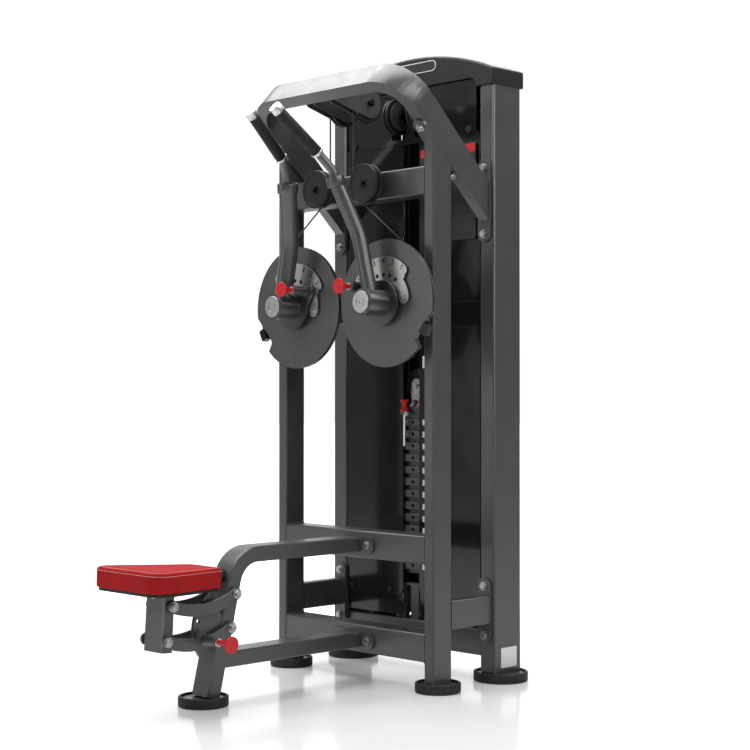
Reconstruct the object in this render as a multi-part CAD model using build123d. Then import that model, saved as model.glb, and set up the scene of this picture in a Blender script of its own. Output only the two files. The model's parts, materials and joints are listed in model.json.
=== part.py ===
from build123d import *
import os
from math import asin, atan2, cos, degrees, hypot, radians, sin

# Lever-arm lat pulldown machine. Millimetres, +Z up, -Y is the user's side.
# Heights are from the floor. Depths are from the middle plane of the front frame, and the
# finished pieces are moved so that the origin is under the middle of the whole machine.
ORIGIN_DEPTH = -282.687       # depth of the machine's middle, where the origin is
CUT = 3000                    # size of cutting blocks, larger than the machine

WALL = 3                      # tube wall
CORNER = 6                    # outer corner radius of the tubes
WELD = 7                      # leg of the fillet welds
FLANGE = 8                    # thickness of welded flange plates
FLANGE_END_R = 26
BOLT_HOLE_R = 6.5
HOLE_DEPTH = 10               # blind depth of holes through a tube's wall
RUN_GAP = 0.05                # radial clearance of a running fit
LOOSE_GAP = 0.3               # radial clearance where the seat linkage is left open
CABLE_R = 2.5

# front frame
POST_X = 340
POST_W, POST_D = 40, 84
BAR_FRONT = -40               # front face of every crossbar
BAR_D = 80
BAR_H = 88
CROSSBAR_HEIGHTS = (135, 437, 1191, 1581)
SIDE_MEMBER_Z, SIDE_MEMBER_H = 232, 90

# tower
COLUMN_X, COLUMN_W = 342, 60
COLUMN_FRONT, COLUMN_D = 228, 130
COLUMN_TOP = 1910
COLUMN_BACK = COLUMN_FRONT + COLUMN_D
BASE_TUBE_Z, BASE_TUBE_D, BASE_TUBE_H = 122, 80, 86
HEAD_TUBE_Y, HEAD_TUBE_Z, HEAD_TUBE_D, HEAD_TUBE_H = 320, 1872, 50, 60
CAP_OVERHANG = 5
CAP_SIDE_TOP, CAP_PEAK = 1962, 2042
CAP_WALL = 12
SHIELD_Y, SHIELD_T = 232, 4
SHIELD_LOW, SHIELD_HIGH, SHIELD_W = 238, 1770, 616
SLOT_HALF, SLOT_TOP, SLOT_CORNER = 38, 1757, 34   # slot in the shield: half-width, top, lower corners
SHIELD_FIXINGS = ((100, 256), (285, 256), (285, 1700))
PANEL_FIXING = (265, 1776)
PLACARD_X, PLACARD_Z, PLACARD_W, PLACARD_H = 175.5, 1575, 245, 310
PLACARD_Y, PLACARD_T = 226, 3
PLACARD_PAD_INSET = (32, 18)

# gantry: a U of flat tube that leans forward from the tower
GANTRY_X = 335
GANTRY_TUBE, GANTRY_DEEP = 40, 90
GANTRY_LEAN = 43.3
GANTRY_FRONT, GANTRY_TOP = -203, 1874
GANTRY_BEND = 125
GANTRY_REACH = 1100           # leg length before the legs are cut off at the tower
POST_BOLT_DEPTHS = (-66, 77)  # bolts between the gantry and the front posts

# flanges on the tower's columns: (height of the middle, bolt spacing)
GANTRY_FLANGE = (1537, 212)
SIDE_FLANGE = (228, 158)
COLUMN_BOLTS = [z + side * spacing / 2 for z, spacing in (SIDE_FLANGE, GANTRY_FLANGE) for side in (-1, 1)]

# rubber feet and the discs they sit on
FOOT_H, FOOT_RECESS, FOOT_RIM = 30, 12, 9
BASE_PLATE = 6
BASE_TOP = FOOT_H - FOOT_RECESS + BASE_PLATE
POST_FOOT_R, COLUMN_FOOT_R, SEAT_FOOT_R = 71.5, 87.5, 75
POST_BASE_R, COLUMN_BASE_R, SEAT_BASE_R = 60, 74, 62

# weight stack
STACK_Y = 278
PLATE_PITCH, PLATE_COUNT = 40, 13
STACK_BOTTOM = 318
PLATE_W, PLATE_DEEP, PLATE_T = 280, 76, 27
ROD_X, ROD_R = 83, 10
ROD_TOP = 1902
STACK_TOP = STACK_BOTTOM + PLATE_COUNT * PLATE_PITCH
TOP_PLATE_H = 38
SELECTOR_R, SELECTOR_PIN_R = 10, 5
SELECTOR_PIN_Z = STACK_TOP + 14
STAND_TOP, STAND_T, STAND_POST = 285, 8, 36
CUSHION_R = 28
INCREMENT_PIN = (-23, 224)    # (X, depth) of the small pin that hangs in the top plate's tab
INCREMENT_TAB_Z = 855

# cable run and pulleys
CABLE_Y = -87                 # plane of the disk grooves and crossbar pulleys
PULLEY_R = 57                 # cable centre line on every head and crossbar pulley
BAR_PULLEY_X, BAR_PULLEY_Z, BAR_PULLEY_W = 111, 1585, 34
STRAND_X = BAR_PULLEY_X - PULLEY_R
HEAD_Z, HEAD_PULLEY_W = 1852, 22
HEAD_FRONT_Y = CABLE_Y + PULLEY_R
HEAD_REAR_Y = STACK_Y - PULLEY_R
CARRIAGE_PULLEY_Z, CARRIAGE_PULLEY_W = 945, 20
PIVOT_R = 8                   # pulley axles and seat link pins

# cam disks and arms
DISK_X, DISK_Z, DISK_R = 206, 1203, 200
DISK_FRONT = -95
WRAP_R = 190                  # cable centre line on the disk
CLAMP_ANGLE = -27
AXLE_R, BEARING_R, BEARING_W = 15, 27.5, 14
BEARING_DEPTHS = (-54, -84, -112, -174)
SLEEVE_R, SLEEVE_FRONT, SLEEVE_BACK = 42, -198, -108
START_ANGLE = 54.6            # first start position, measured inwards from straight up
START_PITCH, START_COUNT = 18.2, 6
HOLE_CIRCLE = 88              # pin holes of the number plate
NUMBER_PLATE_Y, NUMBER_PLATE_T = -101, 3
PLATE_MIDDLE = 90 + START_ANGLE - START_PITCH * (START_COUNT - 1) / 2
PLATE_BOLT_ANGLES = (PLATE_MIDDLE - 88, PLATE_MIDDLE + 88)
PLATE_BOLT_R = 3.8

ARM_PATH = ((206, -158, 1215), (162, -165, 1410), (112.5, -219.5, 1581))
ARM_WIDE, ARM_DEEP = 58, 48
COLLAR_LOW, COLLAR_HIGH = Vector(114.7, -216.6, 1563), Vector(110.8, -222, 1593)
COLLAR_WAY = (COLLAR_HIGH - COLLAR_LOW).normalized()
COLLAR_RIM, COLLAR_RECESS = 10, 14     # the collar's extra width, and the depth of its open top
GRIP_LOW, GRIP_HIGH = Vector(85, -268, 1664), Vector(57, -425, 1795)
GRIP_LENGTH = (GRIP_HIGH - GRIP_LOW).length
GRIP_WAY = (GRIP_HIGH - GRIP_LOW).normalized()
GRIP_RING, GRIP_CAP = 8, 24   # lengths of the ring and the end cap of a grip
HANDLE_R, GRIP_R = 14, 18.5

# pull pins
KNOB_R, KNOB_T, STEM_R, PIN_COLLAR_R = 24, 8, 8.5, 12
ARM_PIN_R, ARM_PIN_HOUSING, ARM_PIN_KNOB = 5, -180, -231
PIN_TIP_GAP = 0.5

# seat
SEAT_TUBE_W, SEAT_TUBE_H = 80, 48
SEAT_ARM_Z, SEAT_LOW_ARM_Z, SEAT_LOW_ARM_LENGTH = 437, 132, 552
SEAT_BEND_Y, SEAT_BEND_R = -470, 92
SEAT_POST_LEAN = 13.5
SEAT_FLANGE_BOLT_X, SEAT_FLANGE_R = 73, 30
SEAT_FOOT_Y = -650
PIVOT_UPPER = (-567, 327)     # (depth, height) of the upper link's pivot on the post
PIVOT_OFFSET = (-20, -99)     # from an upper pivot to the lower one
LINK_REACH = (-235, -18)      # from a post pivot to the seat carrier's pivot
LINK_X, LINK_T, LINK_H, LINK_SAG = 46, 9, 36, 26
LINK_OUTER = LINK_X + LINK_T
SECTOR_X, SECTOR_T, SECTOR_R, SECTOR_PITCH = 26, 10, 130, 13
CARRIER_HALF, CARRIER_D, CARRIER_H, CARRIER_PLATE_T = 44, 40, 200, 4
SEAT_PIN = (-699, 205)
SEAT_PIN_R, SEAT_PIN_TIP, SEAT_PIN_HOUSING, SEAT_PIN_KNOB = 6, 36.5, 128, 194
PAD_LENGTH, PAD_WIDE, PAD_NOSE, PAD_H = 311, 346, 150, 62
PAD_MIDDLE, PAD_BOTTOM, PAD_TILT = -790.5, 357, 2.2
BOARD_T = 8
BUMPER_ANGLE, BUMPER_R, BUMPER_H = 163, 19, 16


# ---------------------------------------------------------------- helpers

def front_plane(depth):
    """Sketch plane facing the user: local x is X, local y is height, extrusions go forward."""
    return Plane((0, depth, 0), x_dir=(1, 0, 0), z_dir=(0, -1, 0))


def side_plane(x):
    """Sketch plane facing +X: local x is depth, local y is height, extrusions go to +X."""
    return Plane((x, 0, 0), x_dir=(0, 1, 0), z_dir=(1, 0, 0))


def rod(start, end, radius):
    start, end = Vector(*start), Vector(*end)
    return extrude(Plane(start, z_dir=end - start) * Circle(radius), (end - start).length)


def ring(start, end, outer, inner):
    return rod(start, end, outer) - rod(start, end, inner)


def depth_rod(x, z, start, end, radius):
    """Rod along the depth axis."""
    return rod((x, start, z), (x, end, z), radius)


def across_rod(pivot, half_length, radius):
    """Rod along X through a pivot, to half_length on both sides."""
    return rod((-half_length, pivot.Y, pivot.Z), (half_length, pivot.Y, pivot.Z), radius)


def round_sweep(path, radius):
    return sweep(Plane(path @ 0, z_dir=path % 0) * Circle(radius), path=path)


def tube(plane, width, height, length):
    """Hollow rectangular tube, extruded from the plane."""
    outside = extrude(plane * RectangleRounded(width, height, CORNER), length)
    bore = RectangleRounded(width - 2 * WALL, height - 2 * WALL, CORNER - WALL)
    return outside - extrude(plane * bore, length)


def bent_tube(path, width, height):
    start = Plane(path @ 0, x_dir=(1, 0, 0), z_dir=path % 0)
    outside = sweep(start * RectangleRounded(width, height, CORNER), path=path)
    bore = RectangleRounded(width - 2 * WALL, height - 2 * WALL, CORNER - WALL)
    return outside - sweep(start * bore, path=path)


def both_sides(shape):
    """The piece and its mirror image across the middle plane."""
    return [shape, mirror(shape, about=Plane.YZ)]


def cutting_block(depth, side):
    """Block above the floor with a face at a depth: behind it for Align.MIN, in front for Align.MAX."""
    return Pos(0, depth, 0) * Box(CUT, CUT, CUT, align=(Align.CENTER, side, Align.MIN))


def on_circle(centre_x, centre_z, radius, angle):
    return (centre_x + radius * cos(radians(angle)), centre_z + radius * sin(radians(angle)))


def on_disk(radius, angle):
    return on_circle(DISK_X, DISK_Z, radius, angle)


def obround_plate(plane, bolt_spacing, end_radius=FLANGE_END_R, angle=90):
    """Flange plate with round ends and a bolt hole near each end."""
    outline = SlotCenterToCenter(bolt_spacing, 2 * end_radius, rotation=angle)
    for side in (-1, 1):
        outline -= Pos(*on_circle(0, 0, side * bolt_spacing / 2, angle)) * Circle(BOLT_HOLE_R)
    return extrude(plane * outline, FLANGE)


def hex_bolt(seat, direction, shank_length, shank_r=6, head=9.5, washer_r=14):
    """Hex head on a washer. The seat is the point under the washer, the shank goes the other way."""
    washer_t, head_h = 2.5, 7.5
    plane = Plane(seat, z_dir=direction)
    washer = extrude(plane * Circle(washer_r), washer_t)
    head_base = plane.offset(washer_t)
    hexagon = extrude(head_base * RegularPolygon(head / cos(radians(30)), 6), head_h)
    dome = extrude(head_base * Circle(head * 1.12), head_h, taper=8)
    shank = extrude(plane * Circle(shank_r), -shank_length)
    return washer + (hexagon & dome) + shank


def base_disc(x, depth, radius):
    """Steel disc welded under an upright, resting in a rubber foot."""
    return rod((x, depth, BASE_TOP - BASE_PLATE), (x, depth, BASE_TOP), radius)


# ---------------------------------------------------------------- front frame

GANTRY_PLANE = Plane(
    (0, GANTRY_FRONT, GANTRY_TOP),
    x_dir=(1, 0, 0),
    z_dir=(0, sin(radians(GANTRY_LEAN)), cos(radians(GANTRY_LEAN))),
)
POST_BOLT_ALONG = [(depth - GANTRY_FRONT) / cos(radians(GANTRY_LEAN)) for depth in POST_BOLT_DEPTHS]


def gantry_point(x, along, above=0):
    """Point on the gantry's plane: along is the distance down the legs from the top edge."""
    return GANTRY_PLANE.from_local_coords((x, along, above))


def post_top_plate():
    """Sloping plate on the post's top, bolted to the underside of the gantry leg."""
    middle = gantry_point(GANTRY_X, sum(POST_BOLT_ALONG) / 2)
    plane = Plane(middle, x_dir=GANTRY_PLANE.x_dir, z_dir=-GANTRY_PLANE.z_dir)
    return obround_plate(plane, POST_BOLT_ALONG[1] - POST_BOLT_ALONG[0])


def front_post():
    """Upright from its base disc to the sloping plate under the gantry."""
    post = tube(Plane((POST_X, 0, BASE_TOP)), POST_W, POST_D, GANTRY_TOP - BASE_TOP)
    above = Plane(gantry_point(0, 0, -FLANGE), x_dir=(1, 0, 0), z_dir=GANTRY_PLANE.z_dir)
    post -= extrude(above * Rectangle(CUT, CUT), CUT)
    return post + base_disc(POST_X, 0, POST_BASE_R)


def side_member():
    """Tube from the post back to the flange plate on the tower's column."""
    start = Plane((POST_X, POST_D / 2, SIDE_MEMBER_Z), x_dir=(1, 0, 0), z_dir=(0, 1, 0))
    member = tube(start, POST_W, SIDE_MEMBER_H, COLUMN_FRONT - FLANGE - POST_D / 2)
    flange_z, spacing = SIDE_FLANGE
    return member + obround_plate(front_plane(COLUMN_FRONT) * Pos(GANTRY_X, flange_z, 0), spacing)


def crossbar(height):
    inner = POST_X - POST_W / 2
    start = Plane((-inner, BAR_FRONT + BAR_D / 2, height), x_dir=(0, 1, 0), z_dir=(1, 0, 0))
    return tube(start, BAR_D, BAR_H, 2 * inner)


def crossbar_corner_welds(height):
    """Small fillet welds where a crossbar's top and bottom meet the posts."""
    end_gap = 4
    plane = front_plane(BAR_FRONT + BAR_D - end_gap)
    shapes = []
    for side in (-1, 1):
        for edge in (-1, 1):
            x, z = side * (POST_X - POST_W / 2), height + edge * BAR_H / 2
            outline = Polyline((x, z), (x - side * WELD, z), (x, z + edge * WELD), close=True)
            shapes.append(extrude(plane * make_face(outline), BAR_D - 2 * end_gap))
    return shapes


def bar_hole(x, height, radius):
    """Cutter for a hole through a crossbar's front wall."""
    return depth_rod(x, height, BAR_FRONT - 1, BAR_FRONT + HOLE_DEPTH, radius)


def make_front_frame():
    frame = Part()
    for piece in (front_post(), post_top_plate(), side_member()):
        for copy in both_sides(piece):
            frame += copy
    for height in CROSSBAR_HEIGHTS:
        frame += crossbar(height)
        for weld in crossbar_corner_welds(height):
            frame += weld
    for side in (-1, 1):
        for height in (SEAT_ARM_Z, SEAT_LOW_ARM_Z):
            frame -= bar_hole(side * SEAT_FLANGE_BOLT_X, height, BOLT_HOLE_R)
        frame -= bar_hole(side * BAR_PULLEY_X, BAR_PULLEY_Z, PIVOT_R)
        frame -= bar_hole(side * DISK_X, DISK_Z, AXLE_R)
    return frame


# ---------------------------------------------------------------- gantry

def gantry_outline(inset):
    """U shape in the gantry's plane, open at the tower end."""
    half = GANTRY_X + GANTRY_TUBE / 2 - inset
    inner_half = half - GANTRY_TUBE + 2 * inset
    inner_top = GANTRY_TUBE - inset
    outer = Pos(0, (GANTRY_REACH + inset) / 2) * RectangleRounded(
        2 * half, GANTRY_REACH - inset, GANTRY_BEND - inset
    )
    inner = Pos(0, (GANTRY_REACH + inner_top) / 2) * RectangleRounded(
        2 * inner_half, GANTRY_REACH - inner_top, GANTRY_BEND - GANTRY_TUBE + inset
    )
    return outer - inner


def make_gantry():
    shell = extrude(GANTRY_PLANE * gantry_outline(0), GANTRY_DEEP)
    shell -= extrude(GANTRY_PLANE.offset(WALL) * gantry_outline(WALL), GANTRY_DEEP - 2 * WALL)
    shell -= cutting_block(COLUMN_FRONT - FLANGE, Align.MIN)
    flange_z, spacing = GANTRY_FLANGE
    plane = front_plane(COLUMN_FRONT) * Pos(GANTRY_X, flange_z, 0)
    for flange in both_sides(obround_plate(plane, spacing)):
        shell += flange
    for along in POST_BOLT_ALONG:
        for side in (-1, 1):
            start = gantry_point(side * GANTRY_X, along, -1)
            end = gantry_point(side * GANTRY_X, along, HOLE_DEPTH)
            shell -= rod(start, end, BOLT_HOLE_R)
    return shell


# ---------------------------------------------------------------- tower

def make_columns():
    middle = COLUMN_FRONT + COLUMN_D / 2
    column = tube(Plane((COLUMN_X, middle, BASE_TOP)), COLUMN_W, COLUMN_D, COLUMN_TOP - BASE_TOP)
    column += base_disc(COLUMN_X, middle, COLUMN_BASE_R)
    for height in COLUMN_BOLTS:
        column -= depth_rod(GANTRY_X, height, COLUMN_FRONT - 1, COLUMN_FRONT + HOLE_DEPTH, BOLT_HOLE_R)
    return both_sides(column)


def stack_stand():
    """Riser on the base tube that the stack's cushions rest on."""
    base_top = BASE_TUBE_Z + BASE_TUBE_H / 2
    under = STAND_TOP - STAND_T
    stand = Pos(0, STACK_Y, STAND_TOP - STAND_T / 2) * Box(2 * ROD_X + 70, 66, STAND_T)
    height = under - base_top
    stand += Pos(0, STACK_Y - 8, base_top + height / 2) * Box(STAND_POST, STAND_POST + 4, height)
    for side in (-1, 1):
        place = (side * ROD_X, STACK_Y)
        stand += rod((*place, base_top), (*place, under), CUSHION_R - 4)
        stand -= rod((*place, base_top), (*place, STAND_TOP), ROD_R)
    return stand


def make_crossmembers():
    """Base tube with the stack's stand, and head tube behind the rear pulleys."""
    inner = COLUMN_X - COLUMN_W / 2
    base_start = Plane((-inner, STACK_Y, BASE_TUBE_Z), x_dir=(0, 1, 0), z_dir=(1, 0, 0))
    base = tube(base_start, BASE_TUBE_D, BASE_TUBE_H, 2 * inner) + stack_stand()
    head_start = Plane((-inner, HEAD_TUBE_Y, HEAD_TUBE_Z), x_dir=(0, 1, 0), z_dir=(1, 0, 0))
    head = tube(head_start, HEAD_TUBE_D, HEAD_TUBE_H, 2 * inner)
    base_top = BASE_TUBE_Z + BASE_TUBE_H / 2
    tab_size, tab_t = 44, 8
    for side in (-1, 1):
        place = (side * ROD_X, STACK_Y)
        base -= rod((*place, base_top - HOLE_DEPTH), (*place, base_top), ROD_R)
        tab_middle = (side * (ROD_X + tab_size / 4), STACK_Y + tab_t, ROD_TOP - tab_t / 2)
        tab = Pos(*tab_middle) * Box(tab_size, tab_size, tab_t)
        head += tab - rod((*place, ROD_TOP - 2 * tab_t), (*place, ROD_TOP), ROD_R)
    return [base, head]


def arch_outline(overhang, drop):
    """The cap's front view: upright sides under a shallow arch."""
    half = COLUMN_X + COLUMN_W / 2 + overhang
    low, side_top = COLUMN_TOP - drop, CAP_SIDE_TOP - drop
    sides = Polyline((half, side_top), (half, low), (-half, low), (-half, side_top))
    arch = ThreePointArc((-half, side_top), (0, CAP_PEAK - drop), (half, side_top))
    return make_face([*sides.edges(), *arch.edges()])


def make_cap():
    """Hollow cap over the tower, with a rounded recess in its front for the upper panel."""
    front, back, back_wall = COLUMN_FRONT - 6, COLUMN_BACK + 14, 5
    shell = extrude(front_plane(back) * arch_outline(CAP_OVERHANG, 0), back - front)
    top_edges = [edge for edge in shell.edges() if edge.center().Z > COLUMN_TOP + 5]
    shell = fillet(top_edges, 9)
    hollow = arch_outline(CAP_OVERHANG - CAP_WALL, CAP_WALL)
    shell -= extrude(front_plane(back - back_wall) * hollow, back - front - 2 * back_wall)
    recess = front_plane(front + CAP_WALL) * Pos(0, 1898, 0) * RectangleRounded(600, 84, 32)
    return shell - extrude(recess, 2 * CAP_WALL)


def make_upper_panel():
    """Panel between the columns, with two windows for the rear pulleys and the cables."""
    panel = Pos(0, 1847) * RectangleRounded(592, 178, 30)
    fixing_x, fixing_z = PANEL_FIXING
    for side in (-1, 1):
        panel -= Pos(side * STRAND_X, 1850) * RectangleRounded(66, 150, 8)
        panel -= Pos(side * fixing_x, fixing_z) * Circle(4)
    return extrude(front_plane(SHIELD_Y) * panel, SHIELD_T)


def shield_fixings():
    return [(side * x, z) for side in (-1, 1) for x, z in SHIELD_FIXINGS]


def make_front_shield():
    """Gloss sheet with a tall slot that shows the stack and lets the pins pass."""
    sheet = Pos(0, (SHIELD_LOW + SHIELD_HIGH) / 2) * RectangleRounded(SHIELD_W, SHIELD_HIGH - SHIELD_LOW, 20)
    sheet -= Pos(0, SLOT_TOP / 2) * Rectangle(2 * SLOT_HALF, SLOT_TOP)
    for side in (-1, 1):
        middle = (side * (SLOT_HALF + SLOT_CORNER / 2), SHIELD_LOW + SLOT_CORNER / 2)
        round_middle = (side * (SLOT_HALF + SLOT_CORNER), SHIELD_LOW + SLOT_CORNER)
        sheet -= Pos(*middle) * Rectangle(SLOT_CORNER, SLOT_CORNER) - Pos(*round_middle) * Circle(SLOT_CORNER)
    for x, z in shield_fixings():
        sheet -= Pos(x, z) * Circle(4)
    return extrude(front_plane(SHIELD_Y + SHIELD_T) * sheet, SHIELD_T)


def make_rear_shield():
    sheet = Pos(0, 1030) * RectangleRounded(620, 1730, 12)
    return extrude(front_plane(COLUMN_BACK) * sheet, SHIELD_T)


def make_placard():
    """Instruction board on stand-off pads in front of the shield's right half."""
    outline = Pos(PLACARD_X, PLACARD_Z) * RectangleRounded(PLACARD_W, PLACARD_H, 8)
    board = extrude(front_plane(PLACARD_Y) * outline, PLACARD_T)
    for side in (-1, 1):
        for end in (-1, 1):
            x = PLACARD_X + side * (PLACARD_W / 2 - PLACARD_PAD_INSET[0])
            z = PLACARD_Z + end * (PLACARD_H / 2 - PLACARD_PAD_INSET[1])
            board += depth_rod(x, z, SHIELD_Y, PLACARD_Y, 6)
    return board


def panel_button(x, z, face, radius):
    """Push-in fixing: a low round cap with a short shank through the panel."""
    return depth_rod(x, z, face, face - 5, radius) + depth_rod(x, z, face, face + 8, 3.5)


def make_shield_buttons():
    buttons = [panel_button(x, z, SHIELD_Y, 9) for x, z in shield_fixings()]
    return buttons + both_sides(panel_button(*PANEL_FIXING, SHIELD_Y - SHIELD_T, 12))


def foot(x, depth, radius):
    """Round rubber foot with a raised rim round the base plate."""
    block = rod((x, depth, 0), (x, depth, FOOT_H), radius)
    block = fillet(block.edges().filter_by(GeomType.CIRCLE), 4)
    return block - rod((x, depth, FOOT_H - FOOT_RECESS), (x, depth, FOOT_H + 1), radius - FOOT_RIM)


def make_feet():
    column_middle = COLUMN_FRONT + COLUMN_D / 2
    feet = both_sides(foot(POST_X, 0, POST_FOOT_R)) + both_sides(foot(COLUMN_X, column_middle, COLUMN_FOOT_R))
    return feet + [foot(0, SEAT_FOOT_Y, SEAT_FOOT_R)]


# ---------------------------------------------------------------- weight stack

def make_guide_rods():
    low = BASE_TUBE_Z + BASE_TUBE_H / 2 - HOLE_DEPTH
    return both_sides(rod((ROD_X, STACK_Y, low), (ROD_X, STACK_Y, ROD_TOP), ROD_R))


def weight_plate(bottom):
    """Plate with a narrower spacer ledge under it, a pin hole and two guide holes."""
    ledge = PLATE_PITCH - PLATE_T
    middle = bottom + ledge + PLATE_T / 2
    top = bottom + PLATE_PITCH
    slab = Pos(0, STACK_Y, middle) * Box(PLATE_W, PLATE_DEEP, PLATE_T)
    slab = chamfer(slab.edges().filter_by(Axis.X), 2)
    plate = slab + Pos(0, STACK_Y, bottom + ledge / 2) * Box(PLATE_W - 40, PLATE_DEEP - 24, ledge)
    plate -= depth_rod(0, middle, STACK_Y - PLATE_DEEP / 2 - 1, STACK_Y, SELECTOR_PIN_R + 1)
    plate -= rod((0, STACK_Y, bottom), (0, STACK_Y, top), SELECTOR_R + 4)
    for side in (-1, 1):
        place = (side * ROD_X, STACK_Y)
        plate -= rod((*place, bottom), (*place, top), ROD_R + 1.5)
    return plate


def make_weight_plates():
    return [weight_plate(STACK_BOTTOM + i * PLATE_PITCH) for i in range(PLATE_COUNT)]


def make_cushions():
    """Rubber rings round the guide rods, under the stack."""
    low, high = (ROD_X, STACK_Y, STAND_TOP), (ROD_X, STACK_Y, STACK_BOTTOM)
    return both_sides(ring(low, high, CUSHION_R, ROD_R + 1))


def make_top_plate():
    """Head plate of the stack, with a front tab for the small pin."""
    low, high = STACK_TOP, STACK_TOP + TOP_PLATE_H
    plate = Pos(0, STACK_Y, (low + high) / 2) * Box(PLATE_W, PLATE_DEEP, TOP_PLATE_H)
    plate = chamfer(plate.edges().filter_by(Axis.X), 3)
    x, depth = INCREMENT_PIN
    plate += Pos(x, depth + 4, INCREMENT_TAB_Z) * Box(22, 28, 10)
    plate -= rod((x, depth, low), (x, depth, high), 4 + RUN_GAP)
    front = STACK_Y - PLATE_DEEP / 2
    plate -= depth_rod(0, SELECTOR_PIN_Z, front, STACK_Y, SELECTOR_PIN_R + RUN_GAP)
    plate -= rod((0, STACK_Y, low), (0, STACK_Y, high - 8), SELECTOR_R)
    for side in (-1, 1):
        place = (side * ROD_X, STACK_Y)
        plate -= rod((*place, low), (*place, high), ROD_R + 0.5)
    return plate


def make_selector_rod():
    """Steel rod below the top plate, cross-drilled once for each plate."""
    shaft = rod((0, STACK_Y, STACK_BOTTOM + 12), (0, STACK_Y, STACK_TOP + TOP_PLATE_H - 8), SELECTOR_R)
    reach = 2 * SELECTOR_R
    for i in range(PLATE_COUNT):
        height = STACK_BOTTOM + (i + 1) * PLATE_PITCH - PLATE_T / 2
        shaft -= depth_rod(0, height, STACK_Y - reach, STACK_Y + reach, SELECTOR_PIN_R + 0.5)
    return shaft - depth_rod(0, SELECTOR_PIN_Z, STACK_Y - reach, STACK_Y + reach, SELECTOR_PIN_R + RUN_GAP)


def make_selector_pin():
    head_back, head_front = 226, 206
    pin = depth_rod(0, SELECTOR_PIN_Z, STACK_Y + 5, head_back, SELECTOR_PIN_R)
    return pin + depth_rod(0, SELECTOR_PIN_Z, head_back, head_front, 8)


def make_increment_pin():
    """Spool knob with an upright pin, hanging in the tab on the top plate."""
    x, depth = INCREMENT_PIN
    tab_top = INCREMENT_TAB_Z + 5
    pin = rod((x, depth, tab_top - 115), (x, depth, tab_top + 2), 4)
    low_rim = rod((x, depth, tab_top), (x, depth, tab_top + 8), 14)
    waist = rod((x, depth, tab_top + 8), (x, depth, tab_top + 32), 9)
    return pin + low_rim + waist + rod((x, depth, tab_top + 32), (x, depth, tab_top + 40), 14)


def make_carriage_bracket():
    """Two cheeks on the top plate that hold the floating pulley, and its axle."""
    low = STACK_TOP + TOP_PLATE_H
    width, cheek_t, cheek_gap = 50, 5, 18
    bracket = Pos(0, STACK_Y, low + 4) * Box(60, width, 8)
    for side in (-1, 1):
        depth = STACK_Y + side * cheek_gap
        cheek = Pos(0, (low + CARRIAGE_PULLEY_Z) / 2) * Rectangle(width, CARRIAGE_PULLEY_Z - low)
        cheek += Pos(0, CARRIAGE_PULLEY_Z) * Circle(width / 2)
        bracket += extrude(front_plane(depth + cheek_t / 2) * cheek, cheek_t)
    axle = depth_rod(0, CARRIAGE_PULLEY_Z, STACK_Y - cheek_gap - 10, STACK_Y + cheek_gap + 10, PIVOT_R)
    return bracket + axle


# ---------------------------------------------------------------- pulleys and cables

def pulley(centre, axis, cable_radius, width):
    """Grooved wheel with a stepped face. Width is along the axis."""
    plane = Plane(centre, z_dir=axis)
    rim, floor = cable_radius + 5, cable_radius - CABLE_R - 0.3
    groove_half = CABLE_R + 0.5
    hub_r, dish_depth = 17, 2
    wheel = extrude(plane.offset(-width / 2) * Circle(rim), width)
    wheel = chamfer(wheel.edges().filter_by(GeomType.CIRCLE), 1.5)
    wheel -= extrude(plane.offset(-groove_half) * (Circle(rim + 1) - Circle(floor)), 2 * groove_half)
    dish = Circle(rim - 11) - Circle(hub_r)
    for side in (-1, 1):
        face = plane.offset(side * (width / 2 + 1))
        wheel -= extrude(face * dish, -side * (dish_depth + 1))
    return wheel - extrude(plane.offset(-width) * Circle(PIVOT_R + RUN_GAP), 2 * width)


def bar_pulley():
    return pulley((BAR_PULLEY_X, CABLE_Y, BAR_PULLEY_Z), (0, -1, 0), PULLEY_R, BAR_PULLEY_W)


def head_pulley(depth):
    return pulley((STRAND_X, depth, HEAD_Z), (1, 0, 0), PULLEY_R, HEAD_PULLEY_W)


def carriage_pulley():
    return pulley((0, STACK_Y, CARRIAGE_PULLEY_Z), (0, 1, 0), STRAND_X, CARRIAGE_PULLEY_W)


def bar_pulley_axle():
    """Shoulder bolt with a spacer tube behind the pulley."""
    x, z = BAR_PULLEY_X, BAR_PULLEY_Z
    back, front = CABLE_Y + BAR_PULLEY_W / 2, CABLE_Y - BAR_PULLEY_W / 2
    washer_t = 3
    spacer = depth_rod(x, z, BAR_FRONT, back + 1, 14)
    shaft = depth_rod(x, z, BAR_FRONT + 8, front - 1, PIVOT_R)
    washer = depth_rod(x, z, front - 1, front - 1 - washer_t, 13)
    head = extrude(Plane((x, front - 1 - washer_t, z), z_dir=(0, -1, 0)) * RegularPolygon(10, 6), 8)
    return spacer + shaft + washer + head


def head_axle(depth):
    """Through bolt of a head pulley, between its two cheeks."""
    half = HEAD_PULLEY_W / 2 + 11
    shaft = rod((STRAND_X - half, depth, HEAD_Z), (STRAND_X + half, depth, HEAD_Z), PIVOT_R)
    for side in (-1, 1):
        face = Plane((STRAND_X + side * half, depth, HEAD_Z), z_dir=(side, 0, 0))
        shaft += extrude(face * RegularPolygon(12, 6), 7)
    return shaft


def make_pulley_axles():
    axles = []
    for piece in (bar_pulley_axle(), head_axle(HEAD_FRONT_Y), head_axle(HEAD_REAR_Y)):
        axles += both_sides(piece)
    return axles


def head_bracket_plate(x, depth, tip):
    """Teardrop cheek from a pulley's axle to a smaller round end."""
    around = Pos(depth, HEAD_Z) * Circle(48)
    outline = make_hull((around + Pos(*tip) * Circle(20)).edges())
    outline -= Pos(depth, HEAD_Z) * Circle(PIVOT_R)
    return extrude(side_plane(x) * outline, 4)


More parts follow.
